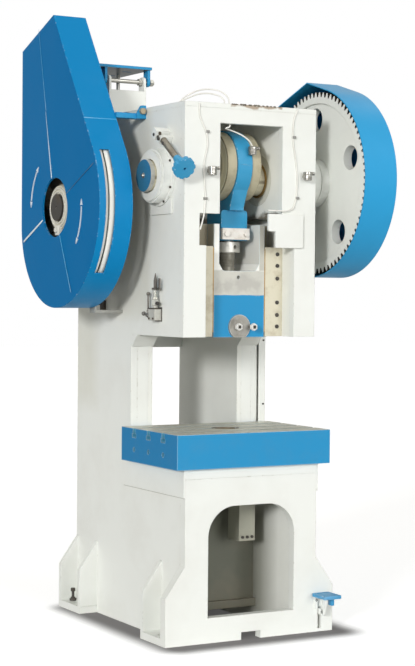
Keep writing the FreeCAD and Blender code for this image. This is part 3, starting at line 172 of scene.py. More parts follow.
# A soft dark rim is painted on the floor along the feet, widest in front, as the press's
# shadow in the studio light.
FEET_CENTRE, FEET_HALF = (0.02, -0.05, 0), (0.36, 0.47, 0)
where = add(tree, "ShaderNodeTexCoord").outputs["Object"]
folded = vector_calc(tree, "ABSOLUTE", vector_calc(tree, "SUBTRACT", where, FEET_CENTRE))
outside = vector_calc(tree, "MAXIMUM", vector_calc(tree, "SUBTRACT", folded, FEET_HALF))
away = vector_calc(tree, "LENGTH", outside)
open_floor = remap(tree, away, 0.02, 0.17, 0.1, interpolation_type="SMOOTHERSTEP")
seen = seen_directly(tree)
matt = add(tree, "ShaderNodeBsdfDiffuse", {"Color": (0.8, 0.8, 0.8, 1)})
rim = add(tree, "ShaderNodeBsdfDiffuse", {"Color": (0.12, 0.11, 0.11, 1)})
shaded = calc(tree, "MULTIPLY", calc(tree, "SUBTRACT", 1.0, open_floor), seen)
ground = add(tree, "ShaderNodeMixShader", {0: shaded, 1: matt.outputs[0], 2: rim.outputs[0]})
lift = calc(tree, "MULTIPLY", calc(tree, "MULTIPLY", seen, 0.6), open_floor)
glow = add(tree, "ShaderNodeEmission", {"Color": WHITE, "Strength": lift})
both = add(tree, "ShaderNodeAddShader", {0: ground.outputs[0], 1: glow.outputs[0]})
add(tree, "ShaderNodeOutputMaterial", {"Surface": both.outputs[0]})
floor.data.materials.append(floor_paint)

# -------------------------------------------------- welded frame
# Thick flame-cut plates, welded into box legs and a box head, filled, ground and
# sprayed with a pale grey-green gloss paint that has yellowed and chipped at edges.
FLOAT, COLOR, VECTOR = "NodeSocketFloat", "NodeSocketColor", "NodeSocketVector"


def group(name, inputs, outputs):
    """A shader group. Its inputs are (name, kind, default), and its outputs are (name, kind)."""
    made = bpy.data.node_groups.new(name, "ShaderNodeTree")
    for label, kind, default in inputs:
        socket = made.interface.new_socket(label, in_out="INPUT", socket_type=kind)
        socket.default_value = default
    for label, kind in outputs:
        made.interface.new_socket(label, in_out="OUTPUT", socket_type=kind)
    return made, made.nodes.new("NodeGroupInput").outputs, made.nodes.new("NodeGroupOutput").inputs


def give(tree, out, **values):
    """Links each value to the group's output of the same name."""
    for name, value in values.items():
        tree.links.new(value, out[name])


def put_group(tree, made, inputs):
    """Outputs of a group placed in a material, with the inputs it gets there."""
    return add(tree, "ShaderNodeGroup", inputs, node_tree=made).outputs


def noise(tree, point, scale, detail, roughness=0.5):
    """Clouds or grain, from 0 to 1."""
    return add(tree, "ShaderNodeTexNoise", {"Vector": point, "Scale": scale, "Detail": detail,
                                            "Roughness": roughness}).outputs["Fac"]


# Rounds sharp plate edges for the light, and masks a band along every edge.
edges, into, out = group(
    "plate_edges",
    [("Round", FLOAT, 0.003), ("Band", FLOAT, 0.008)],
    [("Normal", VECTOR), ("Edge", FLOAT)],
)
soft = add(edges, "ShaderNodeBevel", {"Radius": into["Round"]}, samples=4).outputs[0]
wide = add(edges, "ShaderNodeBevel", {"Radius": into["Band"]}, samples=6).outputs[0]
flat = add(edges, "ShaderNodeNewGeometry").outputs["Normal"]
facing = vector_calc(edges, "DOT_PRODUCT", wide, flat)
give(edges, out, Normal=soft, Edge=remap(edges, facing, 0.995, 0.86))

# Sprayed machine paint: slight unevenness, dull handled areas, dust, chips at edges.
film, into, out = group(
    "paint_film",
    [
        ("Point", VECTOR, (0, 0, 0)),
        ("Color", COLOR, (0.8, 0.8, 0.8, 1)),
        ("Soil", COLOR, (0.35, 0.3, 0.22, 1)),
        ("Edge", FLOAT, 0.0),
        ("Chips", FLOAT, 0.3),
        ("Dust", FLOAT, 0.2),
        ("Gloss", FLOAT, 0.3),
    ],
    [("Color", COLOR), ("Roughness", FLOAT), ("Height", FLOAT)],
)
clouds = noise(film, into["Point"], 3.2, 4.0, 0.6)
specks = noise(film, into["Point"], 60.0, 6.0, 0.7)
peel = noise(film, into["Point"], 420.0, 1.0)
soiled = calc(film, "MULTIPLY", remap(film, clouds, 0.45, 0.75), into["Dust"])
at_edge = calc(film, "MULTIPLY", remap(film, specks, 0.56, 0.64), into["Edge"])
chipped = calc(film, "MULTIPLY", at_edge, into["Chips"])
rubbed_and_highlit = calc(film, "MULTIPLY", soiled, into["Edge"])
dirt = calc(film, "ADD", calc(film, "ADD", soiled, chipped), rubbed_and_highlit, clamp=True)
dull = calc(film, "ADD", into["Gloss"], calc(film, "MULTIPLY", clouds, 0.18))
waves = calc(film, "ADD", peel, calc(film, "MULTIPLY", clouds, 6.0))
give(film, out, Color=blended(film, dirt, into["Color"], into["Soil"]),
     Roughness=calc(film, "ADD", dull, dirt, clamp=True), Height=calc(film, "SUBTRACT", waves, at_edge))

# 1 inside an upright box round Centre, fading to 0 over Soft; Ragged breaks its border up.
zone, into, out = group(
    "inside_box",
    [("Point", VECTOR, (0, 0, 0)), ("Centre", VECTOR, (0, 0, 0)), ("Half", VECTOR, (1, 1, 1)),
     ("Soft", FLOAT, 0.01), ("Ragged", FLOAT, 0.0)],
    [("Mask", FLOAT)],
)
torn = calc(zone, "SUBTRACT", noise(zone, into["Point"], 22.0, 5.0), 0.5)
offset = vector_calc(zone, "ABSOLUTE", vector_calc(zone, "SUBTRACT", into["Point"], into["Centre"]))
offset = vector_calc(zone, "SUBTRACT", offset, into["Half"])
apart = add(zone, "ShaderNodeSeparateXYZ", {0: offset}).outputs
most = calc(zone, "MAXIMUM", calc(zone, "MAXIMUM", apart["X"], apart["Y"]), apart["Z"])
most = calc(zone, "ADD", most, calc(zone, "MULTIPLY", torn, into["Ragged"]))
fade = calc(zone, "DIVIDE", most, into["Soft"])
give(zone, out, Mask=calc(zone, "SUBTRACT", 0.5, fade, clamp=True))


def fresh(name):
    """An empty material, its node tree and the point on the piece that is shaded."""
    made = bpy.data.materials.new(name)
    tree = cleared(made)
    return made, tree, add(tree, "ShaderNodeTexCoord").outputs["Object"]


def finish_with(tree, color, roughness, height, normal, **fixed):
    """The Principled shader of a finish, with its other inputs by their names."""
    bump = add(tree, "ShaderNodeBump", {"Height": height, "Strength": 0.3, "Distance": 0.0003,
                                        "Normal": normal})
    inputs = {"Base Color": color, "Roughness": roughness, "Normal": bump.outputs[0]}
    inputs.update((name.replace("_", " "), value) for name, value in fixed.items())
    shader = add(tree, "ShaderNodeBsdfPrincipled", inputs)
    add(tree, "ShaderNodeOutputMaterial", {"Surface": shader.outputs[0]})


def between(low, high, soft=0.004, ragged=0.0):
    """Inputs of inside_box for the box between two corners, in metres."""
    centre = [(a + b) / 2 for a, b in zip(low, high)]
    half = [(b - a) / 2 for a, b in zip(low, high)]
    return {"Centre": centre, "Half": half, "Soft": soft, "Ragged": ragged}


def painted(name, color, soil=(0.35, 0.3, 0.22, 1), chips=0.35, dust=0.12, gloss=0.24, shine=0.35,
            stains=()):
    """Machine paint. Each of the stains is a box, its colour and how strong it lies there."""
    made, tree, where = fresh(name)
    edge = put_group(tree, edges, {"Round": 0.003, "Band": 0.008})
    coat = put_group(tree, film, {"Point": where, "Color": color, "Soil": soil, "Edge": edge["Edge"],
                                  "Chips": chips, "Dust": dust, "Gloss": gloss})
    shade = coat["Color"]
    for box, stain, amount in stains:
        here = put_group(tree, zone, dict(box, Point=where))["Mask"]
        shade = blended(tree, calc(tree, "MULTIPLY", here, amount), shade, stain)
    finish_with(tree, shade, coat["Roughness"], coat["Height"], edge["Normal"],
                Specular_IOR_Level=shine)
    return made


def cover(material, *names):
    """Puts a material on CAD nodes."""
    for name in names:
        mesh = cad[name].data
        mesh.materials.clear()
        mesh.materials.append(material)


PALE = (0.85, 0.865, 0.825, 1)
SHADE_OLIVE = (0.6, 0.58, 0.45, 1)
GREASE = (0.11, 0.085, 0.05, 1)
RUST = (0.3, 0.19, 0.1, 1)
# Rust at the top edge; on the left side plate an olive painted shade where the guard's shadow
# falls, and a second one lower down towards the back; grease round the ram; the pedal's slot
# painted black inside, as shade.
frame_paint = painted("frame_paint", PALE, stains=[
    (between((-0.1, -0.47, 2.122), (0.14, -0.43, 2.14), 0.006, 0.03), RUST, 0.75),
    (between((-0.4, -0.16, 1.3), (-0.3, 0.5, 2.12), 0.09, 0.03), SHADE_OLIVE, 0.5),
    (between((-0.4, 0.36, 0.95), (-0.3, 0.8, 1.45), 0.2), SHADE_OLIVE, 0.6),
    (between((-0.12, -0.44, 1.2), (0.12, -0.02, 1.7), 0.02, 0.03), GREASE, 0.6),
    (between((0.322, -0.4935, 0.016), (0.3315, -0.4, 0.1), 0.001), (0.05, 0.05, 0.04, 1), 1.0),
])
cover(frame_paint, "side_plates", "leg_closing_plates", "head_front_plate", "head_top_plate",
      "slot_cover", "rear_plates", "base_front_plate", "table_seat_plates", "feet", "brake_housing",
      "pinion_housings", "brake_mounts", "motor_bracket", "rod_cover")
# Inside the head the paint is thin, and oil and grease lie on it round the ways. Inside the
# arch the right wall is painted dark towards the back and the floor, as painted shade.
inner_paint = painted("inner_paint", (0.86, 0.87, 0.82, 1), stains=[
    (between((-0.17, -0.44, 1.2), (0.17, -0.02, 1.705), 0.02, 0.06), GREASE, 0.85),
    (between((0.15, -0.28, 0.0), (0.3, 0.2, 0.5), 0.17), (0.2, 0.2, 0.16, 1), 0.95),
])
cover(inner_paint, "inner_plates", "head_inner_plates")
housing_paint = painted("housing_paint", PALE, stains=[
    (between((-0.29, -0.5, 1.6), (0.29, 0, 2.1), 0.01, 0.01), (0.5, 0.49, 0.41, 1), 0.6),
])
cover(housing_paint, "crank_housings")
# Inside the arch the cavity plates are painted dark, as painted shade.
cover(painted("cavity_shade_paint", (0.17, 0.175, 0.14, 1), dust=0.4), "cavity_plates")
# A dark olive that stands for shade: on the hanging bracket in the arch, and on the lines under the table
# seat's bands.
shadow_olive_paint = painted("shadow_olive_paint", (0.33, 0.33, 0.27, 1), dust=0.4)
cover(shadow_olive_paint, "hanging_bracket")

# -------------------------------------------------- blue paint
# Guards, rod, knob, motor plate and table sides are sprayed a bright blue, and the light
# undercoat shows where it is rubbed or chipped.
BLUE = (0.016, 0.275, 0.55, 1)
INK = (0.02, 0.035, 0.05, 1)
WORN = (0.5, 0.66, 0.78, 1)
rod_paint = painted("rod_paint", (0.04, 0.32, 0.57, 1), soil=(0.6, 0.74, 0.82, 1), chips=1.0,
                    dust=0.1, shine=0.3)
cover(rod_paint, "connecting_rod", "rod_cap", "brake_knob")
# The motor plate's underside is painted a dark grey, as painted shade.
motor_paint = painted("motor_paint", BLUE, soil=INK, shine=0.3, stains=[
    (between((-0.46, -0.2, 2.332), (-0.1, 0.6, 2.3335), 0.0003), (0.13, 0.13, 0.125, 1), 0.9),
])
cover(motor_paint, "motor_plate")
# Below the belt guard the steady bar is painted a dim grey, as painted shade matching the
# shaded side plate behind it.
bracket_paint = painted("bracket_paint", BLUE, soil=INK, shine=0.3, stains=[
    (between((-0.7, -0.6, 1.2), (-0.3, 0.6, 1.42)), (0.36, 0.36, 0.33, 1), 1.0),
])
cover(bracket_paint, "guard_brackets")
# The belt guard and the gear guard wear one blue paint, given tones of painted light: the guard's rim
# darker than that blue, its face darker still, the gear guard lighter.
guard_paint = painted("guard_paint", (0.003, 0.22, 0.5, 1), soil=WORN, chips=0.8, dust=0.02, shine=0.1)
cover(guard_paint, "belt_guard")
gear_guard_paint = painted("gear_guard_paint", (0.025, 0.34, 0.66, 1), soil=(0.01, 0.15, 0.3, 1),
                           chips=0.3, dust=0.1, shine=0.25)
cover(gear_guard_paint, "gear_guard")
rounding = cad["brake_knob"].modifiers.new("rounded", "BEVEL")
rounding.width = 0.0035
rounding.segments = 3
rounding.angle_limit = math.radians(50)

# -------------------------------------------------- bare steel
# Turned, planed and oiled steel. Turned faces show fine rings about the shaft axis.
CRANKSHAFT = (0, -0.275, 1.848)
CRANKPIN = (0, -0.275, 1.898)
WHEEL = (0, 0.135892, 1.73)
RUSTY = (0.2, 0.14, 0.08, 1)
metal, into, out = group(
    "machined",
    [("Point", VECTOR, (0, 0, 0)), ("Color", COLOR, (0.5, 0.5, 0.48, 1)), ("Stain", COLOR, RUSTY),
     ("Stains", FLOAT, 0.4), ("Rough", FLOAT, 0.35)],
    [("Color", COLOR), ("Roughness", FLOAT), ("Height", FLOAT)],
)
spots = remap(metal, noise(metal, into["Point"], 14.0, 7.0, 0.65), 0.48, 0.7)
lines = noise(metal, into["Point"], 240.0, 2.0)
stained = calc(metal, "MULTIPLY", spots, into["Stains"])
rough = calc(metal, "ADD", calc(metal, "MULTIPLY", lines, 0.2), into["Rough"])
give(metal, out, Color=blended(metal, stained, into["Color"], into["Stain"]),
     Roughness=calc(metal, "ADD", rough, stained, clamp=True), Height=lines)

# Distance from an axis along X, and the ring pattern that a lathe tool leaves about it.
lathe, into, out = group("lathe_rings", [("Point", VECTOR, (0, 0, 0)), ("Axis", VECTOR, CRANKSHAFT)],
                         [("Radius", FLOAT), ("Rings", FLOAT)])
offset = vector_calc(lathe, "SUBTRACT", into["Point"], into["Axis"])
radius = vector_calc(lathe, "LENGTH", vector_calc(lathe, "MULTIPLY", offset, (0, 1, 1)))
rings = add(lathe, "ShaderNodeTexNoise", {"W": radius, "Scale": 150.0, "Detail": 4.0},
            noise_dimensions="1D")
give(lathe, out, Radius=radius, Rings=rings.outputs["Fac"])


def ramp(tree, value, stops):
    """Colours against a value: a list of (position, colour)."""
    made = add(tree, "ShaderNodeValToRGB", {0: value})
    keys = made.color_ramp.elements
    while len(keys) < len(stops):
        keys.new(0.5)
    for key, (position, shade) in zip(keys, stops):
        key.position = position
        key.color = shade
    return made.outputs["Color"]


def bare(name, color, stain=RUSTY, stains=0.4, rough=0.3, shine=1.0, axis=None, rings=(), lined=None):
    """Bare metal. With an axis, rings tints it by its distance from that axis, over 0.5 m."""
    made, tree, where = fresh(name)
    edge = put_group(tree, edges, {"Round": 0.0015, "Band": 0.004})
    face = put_group(tree, metal, {"Point": where, "Color": color, "Stain": stain, "Stains": stains,
                                   "Rough": rough})
    shade, relief = face["Color"], face["Height"]
    if axis:
        turning = put_group(tree, lathe, {"Point": where, "Axis": axis})
        tint = ramp(tree, calc(tree, "MULTIPLY", turning["Radius"], 2.0), rings)
        shade = blended(tree, 1.0, shade, tint, "MULTIPLY")
        relief = turning["Rings"]
        shade = vector_calc(tree, "MULTIPLY", shade, remap(tree, relief, 0.3, 0.7, 0.78))
    if lined:
        shade = blended(tree, edge["Edge"], shade, lined)
    finish_with(tree, shade, face["Roughness"], relief, edge["Normal"], Metallic=shine)
    return made


cover(bare("machined_steel", (0.6, 0.59, 0.55, 1)), "rear_guides", "shaft_collars", "brake_screw",
      "motor_studs", "pull_rod")
gib_steel = bare("gib_steel", (0.68, 0.64, 0.51, 1), stain=(0.4, 0.32, 0.2, 1), stains=0.45, rough=0.45,
                 shine=0.25)
cover(gib_steel, "front_gibs")
# The crank webs' near-white band at the rim is a painted highlight.
web_steel = bare(
    "web_steel", (1.0, 0.97, 0.84, 1), stain=(0.45, 0.4, 0.3, 1), rough=0.4, shine=0.08,
    lined=(0.1, 0.08, 0.05, 1), axis=CRANKPIN, rings=[
        (0.0, (0.6, 0.57, 0.48, 1)), (0.16, (0.75, 0.72, 0.62, 1)), (0.175, (0.28, 0.25, 0.2, 1)),
        (0.185, (0.9, 0.88, 0.78, 1)), (0.25, (0.8, 0.78, 0.68, 1)), (0.262, (1, 1, 0.97, 1)),
        (0.27, (0.4, 0.36, 0.27, 1)), (0.281, (0.55, 0.52, 0.42, 1))])
cover(web_steel, "crankshaft")
# The gear's web and rim are painted; only its teeth's flanks are bare, and black, both with
# grease and as painted shade in the gaps between the teeth.
gear_finish, tree, where = fresh("gear_finish")
edge = put_group(tree, edges, {"Round": 0.003, "Band": 0.006})
coat = put_group(tree, film, {
    "Point": where, "Color": (0.8, 0.815, 0.775, 1), "Soil": (0.4, 0.36, 0.28, 1),
    "Edge": edge["Edge"], "Chips": 0.3, "Dust": 0.12, "Gloss": 0.28,
})
ROOT_RADIUS = 0.357
turning = put_group(tree, lathe, {"Point": where, "Axis": CRANKSHAFT})
outer = remap(tree, turning["Radius"], ROOT_RADIUS, ROOT_RADIUS + 0.005)
faces = add(tree, "ShaderNodeNewGeometry").outputs["True Normal"]
sideways = calc(tree, "ABSOLUTE", add(tree, "ShaderNodeSeparateXYZ", {0: faces}).outputs["X"])
grease_and_gap_shade = calc(tree, "MULTIPLY", outer, calc(tree, "LESS_THAN", sideways, 0.5))
finish_with(tree, blended(tree, grease_and_gap_shade, coat["Color"], (0.035, 0.03, 0.022, 1)), coat["Roughness"],
            coat["Height"], edge["Normal"], Specular_IOR_Level=0.35)
cover(gear_finish, "bull_gear", "pinion")
wheel_finish = bare(
    "wheel_finish", (0.8, 0.78, 0.7, 1), stain=(0.3, 0.25, 0.17, 1), rough=0.4, shine=0.1,
    axis=WHEEL, rings=[
        (0.0, (0.5, 0.5, 0.48, 1)), (0.12, (1, 0.99, 0.93, 1)), (0.19, (0.9, 0.88, 0.8, 1)),
        (0.21, (0.16, 0.15, 0.13, 1)), (0.56, (0.2, 0.19, 0.17, 1)), (0.6, (0.8, 0.78, 0.7, 1)),
        (0.65, (0.2, 0.18, 0.14, 1)), (0.665, (0.16, 0.14, 0.1, 1)), (0.674, (1, 1, 0.95, 1))])
cover(wheel_finish, "flywheel")
dark = bare("dark_steel", (0.08, 0.075, 0.07, 1), rough=0.45, shine=0.6)
cover(dark, "brake_band", "linkage_pivots", "trip_lever", "pinion_shaft")
nut_steel = bare("nut_steel", (0.24, 0.23, 0.21, 1), stains=0.5, shine=0.8)
cover(nut_steel, "pump_lever")
lock_steel = bare("lock_steel", (0.8, 0.77, 0.72, 1), stain=(0.4, 0.33, 0.25, 1), rough=0.4, shine=0.15)
cover(lock_steel, "rod_fasteners")
cover(bare("bronze", (0.45, 0.3, 0.13, 1), rough=0.35), "gib_liners", "rod_bush_halves",
      "shaft_bushes", "gear_bush")
cover(painted("oil_tube", (0.86, 0.85, 0.8, 1), gloss=0.3), "oil_tubes")


def by_zone(name, base, zones, stain, stains=0.4, edge_colour=None):
    """One finish whose colour and metal change from box to box, as on a part painted in bands."""
    made, tree, where = fresh(name)
    edge = put_group(tree, edges, {"Round": 0.002, "Band": 0.006})
    shade, shine = base
    for box, tint, sheen in zones:
        here = put_group(tree, zone, dict(box, Point=where))["Mask"]
        shade = blended(tree, here, shade, tint)
        shine = mixed(tree, here, shine, sheen)
    if edge_colour:
        shade = blended(tree, calc(tree, "MULTIPLY", edge["Edge"], 0.5), shade, edge_colour)
    # Oil stains lie on the bare bands, and hardly on the paint.
    held = remap(tree, shine, 0.0, 1.0, 0.12 * stains, 1.6 * stains)
    face = put_group(tree, metal, {"Point": where, "Color": shade, "Stain": stain, "Stains": held})
    finish_with(tree, face["Color"], face["Roughness"], face["Height"], edge["Normal"],
                Metallic=shine, Specular_IOR_Level=0.3)
    return made


# The ram: painted lower block, a bare band above it, pale legs, oily at its sides. Its right
# leg is greyer and its pocket dark, each with oil and painted shade.
POCKET = 1.4745
OILY = (0.3, 0.27, 0.2, 1)
ram_finish = by_zone("ram_finish", (BLUE, 0.0), [
    (between((-0.2, -0.4, 1.375), (0.2, 0, 1.7), 0.002, 0.006), (0.6, 0.595, 0.54, 1), 0.15),
    (between((-0.105, -0.4, 1.395), (0.09, 0, 1.44), 0.03, 0.12), (0.5, 0.49, 0.45, 1), 0.2),
    (between((-0.2, -0.4, POCKET), (0.2, 0, 1.7), 0.006, 0.01), (0.93, 0.93, 0.88, 1), 0.0),
    (between((0.0945, -0.4, POCKET), (0.2, 0, 1.7)), (0.56, 0.55, 0.49, 1), 0.2),
    (between((-0.2, -0.372, 1.2), (-0.1175, 0, 1.7), 0.002), OILY, 0.3),
    (between((0.1175, -0.372, 1.2), (0.2, 0, 1.7), 0.002), OILY, 0.3),
    (between((-0.093, -0.372, POCKET), (0.06, 0, 1.7)), (0.12, 0.1, 0.07, 1), 0.3),
], stain=(0.2, 0.17, 0.12, 1), stains=0.2, edge_colour=(0.5, 0.66, 0.74, 1))
cover(ram_finish, "ram")
# The table: blue sides, the left one a darker blue as painted shade; the top and the slots
# are planed steel, brown with old oil.
CRISP = 0.0004
table_finish = by_zone("table_finish", (BLUE, 0.0), [
    (between((-0.36, -0.6, 0.6), (-0.3543, 0.1, 0.84), CRISP), (0.004, 0.2, 0.45, 1), 0.0),
    (between((-0.3545, -0.5175, 0.7), (0.3545, -0.0385, 0.84), CRISP), (0.17, 0.13, 0.08, 1), 0.5),
    (between((-0.3539, -0.5175, 0.7), (-0.3, -0.0385, 0.828), CRISP), (0.1, 0.36, 0.52, 1), 0.0),
    (between((-0.4, -0.6, 0.8292), (0.4, 0, 0.84), CRISP), (0.62, 0.615, 0.54, 1), 0.5),
], stain=(0.26, 0.22, 0.16, 1), edge_colour=(0.5, 0.68, 0.76, 1))
cover(table_finish, "table")
# Screws are black, but the bolt of the guard's arm is yellow, and the tube clips are grey.
clips = [
    (between((x - 0.009, -0.51, z - 0.007), (x + 0.009, -0.44, z + 0.007), 0.001),
     (0.3, 0.3, 0.28, 1), 0.2)
    for x, z in ((-0.206, 2.017), (-0.213, 1.754), (0.196, 2.015), (0.214, 1.77))
]
screw_finish = by_zone("screw_finish", ((0.07, 0.065, 0.06, 1), 0.5), clips + [
    (between((-0.37, -0.18, 2.09), (-0.3, -0.11, 2.15), 0.002), (0.42, 0.35, 0.24, 1), 0.4),
], stain=(0.2, 0.17, 0.12, 1), stains=0.3)
cover(screw_finish, "frame_screws")
# The shank clamp is a turned disc with a painted highlight along its edges; its nuts are
# bright with darker edges, and its studs' ends are painted black as the shade in the nuts' holes.
clamp_finish = by_zone("clamp_finish", ((0.36, 0.35, 0.32, 1), 0.5), [], stain=(0.2, 0.18, 0.15, 1),
                       stains=0.6, edge_colour=(1.0, 0.99, 0.95, 1))
cover(clamp_finish, "shank_clamp")
STUD_BLACK = (0.04, 0.035, 0.03, 1)
stud_finish = by_zone("stud_finish", ((0.9, 0.89, 0.85, 1), 0.15), [
    (between((-0.0165, -0.6, 1.2405), (-0.0035, -0.3, 1.2535), 0.0012), STUD_BLACK, 0.3),
    (between((0.0435, -0.6, 1.2405), (0.0565, -0.3, 1.2535), 0.0012), STUD_BLACK, 0.3),
    (between((0.03, -0.4035, 1.2), (0.07, -0.37, 1.3), CRISP), (0.16, 0.15, 0.13, 1), 0.3),
], stain=(0.2, 0.18, 0.15, 1), stains=0.2, edge_colour=(0.3, 0.29, 0.26, 1))
cover(stud_finish, "clamp_studs")
# Under its collar the adjusting screw is darker and less metallic.
thread_finish = by_zone("thread_finish", ((0.6, 0.59, 0.55, 1), 0.9), [
    (between((-0.06, -0.36, 1.4), (0.06, -0.2, 1.546), 0.001), (0.27, 0.26, 0.22, 1), 0.5),
], stain=(0.12, 0.1, 0.07, 1), stains=0.5)
cover(thread_finish, "ball_screw")
# The pump: a pale machined block below, blackened fittings above the oil pot, and a dark
# line along every edge.
pump_finish = by_zone("pump_finish", ((0.6, 0.6, 0.55, 1), 0.3), [
    (between((-0.4, -0.4, 1.394), (-0.3, -0.2, 1.48), CRISP), (0.13, 0.12, 0.11, 1), 0.6),
], stain=(0.2, 0.18, 0.14, 1), edge_colour=(0.06, 0.06, 0.05, 1))
cover(pump_finish, "pump_body")
# The end disc: a steel rim round a blue middle, a painted reflection of the blue belt guard.
disc_finish = by_zone("disc_finish", ((0.6, 0.59, 0.55, 1), 1.0), [
    (between((-0.4, -0.339, 1.784), (-0.3855, -0.211, 1.912), 0.001), (0.04, 0.22, 0.4, 1), 0.25),
], stain=(0.1, 0.1, 0.1, 1))
cover(disc_finish, "shaft_end_disc")

# -------------------------------------------------- oil cups
# Turned steel cups with a filler screw at one side. A threaded stem with a lock nut
# holds each to the head, and one rides on the big end and feeds the crankpin.
MM = 0.001
IN_MM = Matrix.Scale(MM, 4)
LEFT, RIGHT, FRONT, BACK = (-1, 0, 0), (1, 0, 0), (0, -1, 0), (0, 1, 0)


def spun(degrees):
    """A turn about Z."""
    return Matrix.Rotation(math.radians(degrees), 4, "Z")


def aim(at, along=(0, 0, 1), roll=0.0):
    """Takes a shape drawn in millimetres about its own Z axis to its place on the press."""
    turn = Vector(along).to_track_quat("Z", "Y").to_matrix().to_4x4()
    return IN_MM @ Matrix.Translation(at) @ turn @ spun(roll)


def pour(piece, shape, place):
    """Closes and cleans one shape, puts it in its place, and adds it to the piece."""
    bmesh.ops.remove_doubles(shape, verts=shape.verts, dist=0.001)
    bmesh.ops.recalc_face_normals(shape, faces=shape.faces)
    bmesh.ops.transform(shape, matrix=place, verts=shape.verts)
    loose = bpy.data.meshes.new("loose")
    shape.to_mesh(loose)
    shape.free()
    piece.from_mesh(loose)
    bpy.data.meshes.remove(loose)


def turned(piece, profile, place, steps=32):
    """A turned shape: its profile is a list of (radius, height)."""
    shape = bmesh.new()
    points = [shape.verts.new((radius, 0, height)) for radius, height in profile]
    lines = [shape.edges.new(ends) for ends in zip(points, points[1:])]
    bmesh.ops.spin(shape, geom=points + lines, axis=(0, 0, 1), angle=2 * math.pi, steps=steps,
                   use_merge=True)
    pour(piece, shape, place)


def hexed(piece, across, height, place, chamfer=0.12):
    """A nut or bolt head, its outer corners turned off."""
    shape = bmesh.new()
    reach = across / math.sqrt(3)
    bmesh.ops.create_cone(shape, cap_ends=True, segments=6, radius1=reach, radius2=reach, depth=height)
    bmesh.ops.translate(shape, verts=shape.verts, vec=(0, 0, height / 2))
    top = [edge for edge in shape.edges if all(vert.co.z > height - 0.01 for vert in edge.verts)]
    bmesh.ops.bevel(shape, geom=top, offset=across * chamfer, segments=2, profile=0.5,
                    affect="EDGES", material=-1)
    pour(piece, shape, place)


def block(piece, low, high, ease=1.0, place=IN_MM):
    """A cut block between two corners, its edges eased."""
    shape = bmesh.new()
    bmesh.ops.create_cube(shape, size=1)
    bmesh.ops.scale(shape, vec=[b - a for a, b in zip(low, high)], verts=shape.verts)
    bmesh.ops.translate(shape, vec=[(a + b) / 2 for a, b in zip(low, high)], verts=shape.verts)
    bmesh.ops.bevel(shape, geom=shape.edges[:], offset=ease, segments=2, profile=0.5, affect="EDGES",
                    material=-1)
    pour(piece, shape, place)


def finished(name, piece, material, body, slot, *stands_for):
    """The piece as an object that rides on a body, with its sharp edges kept sharp."""
    mesh = bpy.data.meshes.new(name)
    piece.to_mesh(mesh)
    piece.free()
    mesh.shade_smooth()
    mesh.set_sharp_from_angle(angle=math.radians(32))
    mesh.materials.append(material)
    made = placed(name, mesh)
    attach(made, body)
    if stands_for:
        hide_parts(*stands_for)


cup_steel = bare("cup_steel", (0.42, 0.41, 0.38, 1), stain=(0.08, 0.07, 0.05, 1), stains=0.7, rough=0.2)
CUP_PROFILE = [(0, -18), (15, -18), (17, -16), (17, -13), (16, -12.5), (16, -10.5), (17, -10), (17, 4),
               (18.5, 6), (18.5, 14), (17, 16), (8, 17.5), (0, 18)]
FILLER_PROFILE = [(0, 12), (4.5, 12), (4.5, 23), (7, 24), (7, 31), (5.5, 32), (0, 32)]


def oil_cup(piece, at, stem):
    x, y, z = at
    turned(piece, CUP_PROFILE, aim(at), 40)
    turned(piece, FILLER_PROFILE, aim((x, y, z + 10), RIGHT), 16)
    turned(piece, [(6.5, 12), (6.5, stem + 6)], aim(at, BACK), 20)
    hexed(piece, 21, 7, aim((x, y + stem, z), FRONT))


cups = bmesh.new()
oil_cup(cups, (-193, -491, 1864), 24)
oil_cup(cups, (251, -491, 1860), 24)
finished("oil_cups", cups, cup_steel, "press_frame", "machined_steel", "head_oil_cups")
cup = bmesh.new()
oil_cup(cup, (26, -430, 1956), 19)
finished("big_end_oil_cup", cup, cup_steel, "rod_body", "machined_steel", "rod_oil_cup")

# -------------------------------------------------- brake spring and screws
# A wound steel spring on the brake's tension screw, between the front lug and the knob,
# and the set screws and pins that show round the white lugs.
SLOPE = Vector((0, -190, -133)).normalized()
SCREW_ROOT = Vector((-345, -352, 1993))
SHAFT_Y, SHAFT_Z = -275, 1848


def coil(piece, radius, wire, pitch, length, place, sides=8, per_turn=20):
    """A wound spring: a wire's section carried round and along the axis."""
    shape = bmesh.new()
    turns = length / pitch
    steps = int(turns * per_turn)
    section = Matrix.Translation((radius, 0, 0)) @ Matrix.Rotation(math.pi / 2, 4, "X")
    ring = bmesh.ops.create_circle(shape, segments=sides, radius=wire, matrix=section)["verts"]
    bmesh.ops.spin(shape, geom=ring + shape.edges[:], axis=(0, 0, 1), angle=2 * math.pi * turns,
                   dvec=(0, 0, length / steps), steps=steps)
    bmesh.ops.holes_fill(shape, edges=[edge for edge in shape.edges if edge.is_boundary])
    pour(piece, shape, place)


def cap_screw(piece, socket, head, height, place):
    """A small cap screw, by the radius of its socket and of its head, and the head's height."""
    turned(piece, [(0, 1), (socket, 1), (socket, height), (head - 0.4, height), (head, height - 0.6),
                   (head, 0)], place, 14)


spring = bmesh.new()
coil(spring, 11.3, 2.1, 4.9, 128, aim(SCREW_ROOT + SLOPE * 21, SLOPE))
turned(spring, [(10, 0), (14, 0), (14, 3), (10, 3)], aim(SCREW_ROOT + SLOPE * 17, SLOPE), 24)
spring_steel = bare("spring_steel", (0.3, 0.28, 0.24, 1), stains=0.5)
finished("brake_spring", spring, spring_steel, "knob_body", "machined_steel")
pins = bmesh.new()
for y, z in ((-323, 2008), (-372, 2009), (-359, 1989)):
    hexed(pins, 13, 7, aim((-362, y, z), LEFT, 20))
for y, z in ((-343, 1997), (-385, 1970)):
    hexed(pins, 12, 12, aim((-350, y, z), LEFT, 10))
